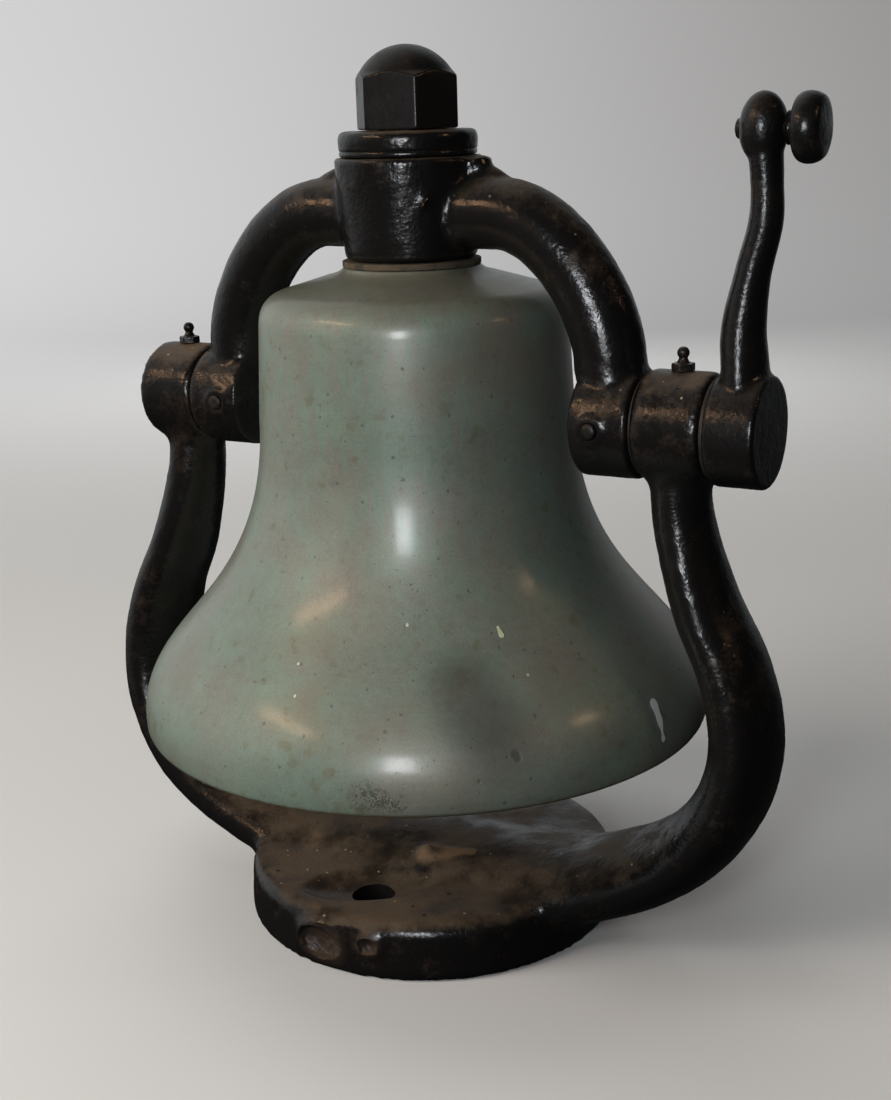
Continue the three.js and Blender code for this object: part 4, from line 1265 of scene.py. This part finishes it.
class BELL_OT_clapper(bpy.types.Operator):
    """Forge the clapper and turn its bush"""

    bl_idname = "cradle_bell.clapper"
    bl_label = "Clapper"

    def execute(self, context):
        hang_low = low("clapper").z
        length, ball, tail = 200.0, 24.0, (clapper_axis - hang_low) / MM
        hang = turned("hang", scaled([
            (0, -10), (8, -10), (7.6, -27), (8.3, -110), (9, -length + ball + 10),
            *bezier([(9, -length + ball + 8), (9.4, -length + ball + 3), (13, -length + ball - 3)], 6),
            *[(ball * math.cos(a), -length + ball * math.sin(a)) for a in np.linspace(0.9, -0.95, 22)],
            (11, -length - ball - 2), (9.8, -tail + 5), (8.6, -tail + 1.5), (6, -tail + 0.2),
            (0, -tail + 0.1)]),
            96, location=clapper_point)
        eye = turned("eye", bar(fork_radius, -9 * MM, 9 * MM), 64, "X", clapper_point, 1.6 * MM)
        clapper = cast("clapper_forging", [hang, eye], 0.9 * MM, fillet=20, lumps=0.55, relax=2)
        bush_low, bush_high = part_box("clapper_bush")
        booleaned(clapper, turned("bush_hole", bar(bush_high.y + 0.2 * MM, -20 * MM, 20 * MM), 48, "X",
                                  clapper_point))
        settle(smoothed(clapper, 50), forged_iron("clapper_iron"), "clapper")
        bush = turned("clapper_sleeve", ring(6.25 * MM, bush_high.y, bush_low.x, bush_high.x), 64, "X",
                      clapper_point, 0.3 * MM)
        settle(smoothed(bush), machined_metal("sleeve_bronze", BUSH_BRONZE, BUSH_STAIN, 0.32, "X"),
               "clapper_bush")
        return {"FINISHED"}


# ---------------------------------------------------------------------- stage


class BELL_OT_stage(bpy.types.Operator):
    """Set the floor, the lights and the camera"""

    bl_idname = "cradle_bell.stage"
    bl_label = "Stage"

    def execute(self, context):
        look = context.scene.bell_stage
        bowl = turned("floor", [(0, -0.0005), (1.2, -0.0005),
                                *bezier([(2.0, -0.0005), (3.4, -0.0005), (3.6, 0.9), (3.6, 3.2)], 24)], 96)
        with editing(bowl):
            bpy.ops.mesh.normals_make_consistent(inside=True)
        smoothed(bowl, 60)
        bowl.data.materials.append(plain_floor("pale_floor"))
        bowl.visible_glossy = False
        bowl.visible_diffuse = False

        centre, lamp_target = (0, 0, 0.25), (0, 0, 0.2)
        side_power, lamp_power = look.side_power, look.lamp_power
        self.light("key", look.key_power, (0.93, 0.96, 1.0), 0.17, 0.24, (0.33, -0.91, 0.5), centre)
        self.light("side", side_power, (1.0, 0.98, 0.95), 1.1, 1.1, (-1.15, -1.45, 0.95), centre, False)
        self.light("top", side_power * 0.24, WHITE, 1.4, 1.4, (-0.8, 0.2, 2.3), (0, 0.1, 0), False)
        self.light("back", side_power * 0.25, WHITE, 1.2, 1.2, (-0.9, 1.7, 1.0), centre, False)
        self.light("left_tube", lamp_power, WARM, 1.0, 0.035, (-1.02, -1.46, 1.49), lamp_target)
        self.light("right_tube", lamp_power * 0.3, WARM, 0.3, 0.04, (1.88, 0.33, 1.3), lamp_target)

        context.scene.world = bpy.data.worlds.new("room")
        room = Finish(context.scene.world, "Background")
        direction = room.node("TexCoord", {}, {}, "Generated")
        towards_wall = room.node("VectorMath", {"operation": "DOT_PRODUCT"},
                                 {0: direction, 1: (-0.87, 0.49, 0.05)}, "Value")
        up = room.node("SeparateXYZ", {}, {0: direction}, 2)
        wall = room.band(towards_wall, -0.1, 0.95) * room.band(up, -0.35, 0.1)
        room.surface(Color=room.mix(wall, (0.014, 0.015, 0.015), (0.66, 0.69, 0.71)), Strength=look.room)

        data = bpy.data.cameras.new("camera")
        data.lens = CAMERA_LENS
        camera = bpy.data.objects.new("camera", data)
        context.scene.collection.objects.link(camera)
        yaw, pitch, roll = (math.radians(angle) for angle in CAMERA_TURN)
        level = math.cos(pitch)
        ahead = Vector((-math.sin(yaw) * level, math.cos(yaw) * level, -math.sin(pitch)))
        right = Vector((math.cos(yaw), math.sin(yaw), 0))
        up = right.cross(ahead)
        lean, upright = math.sin(roll), math.cos(roll)
        right, up = right * upright + up * lean, up * upright - right * lean
        turn = Matrix((right, up, -ahead)).transposed().to_4x4()
        camera.matrix_world = Matrix.Translation(CAMERA_PLACE) @ turn
        context.scene.camera = camera
        context.scene.view_settings.view_transform = "Standard"
        return {"FINISHED"}

    def light(self, name, power, colour, width, height, location, target, reflected=True):
        data = bpy.data.lights.new(name, "AREA")
        data.shape = "RECTANGLE"
        data.size, data.size_y = width, height
        data.energy = power
        data.color = colour
        lamp = bpy.data.objects.new(name, data)
        bpy.context.scene.collection.objects.link(lamp)
        lamp.location = location
        lamp.visible_glossy = reflected
        lamp.rotation_euler = (Vector(target) - Vector(location)).to_track_quat("-Z", "Y").to_euler()


# ------------------------------------------------------------------- the panel


OPERATORS = [BELL_OT_stage, BELL_OT_stand, BELL_OT_nipples, BELL_OT_yoke, BELL_OT_bearings, BELL_OT_pins,
             BELL_OT_crank, BELL_OT_fastening, BELL_OT_shell, BELL_OT_gasket, BELL_OT_clapper_bolt,
             BELL_OT_clapper]


class BELL_PT_panel(bpy.types.Panel):
    """Lists the bell's pieces and their settings"""

    bl_idname = "BELL_PT_panel"
    bl_label = "Cradle Bell"
    bl_space_type = "VIEW_3D"
    bl_region_type = "UI"
    bl_category = "Cradle Bell"

    def draw(self, context):
        for operator in OPERATORS:
            self.layout.operator(operator.bl_idname)
        for group_name, group in SETTINGS.items():
            box = self.layout.box()
            for name in group.__annotations__:
                box.prop(getattr(context.scene, group_name), name)


def register():
    for group_name, group in SETTINGS.items():
        bpy.utils.register_class(group)
        setattr(bpy.types.Scene, group_name, PointerProperty(type=group))
    for cls in [*OPERATORS, BELL_PT_panel]:
        bpy.utils.register_class(cls)


def unregister():
    for cls in reversed([*OPERATORS, BELL_PT_panel]):
        bpy.utils.unregister_class(cls)
    for group_name, group in SETTINGS.items():
        delattr(bpy.types.Scene, group_name)
        bpy.utils.unregister_class(group)


def main():
    register()
    for operator in OPERATORS:
        group, action = operator.bl_idname.split(".")
        getattr(getattr(bpy.ops, group), action)()


if __name__ == "__main__":
    main()
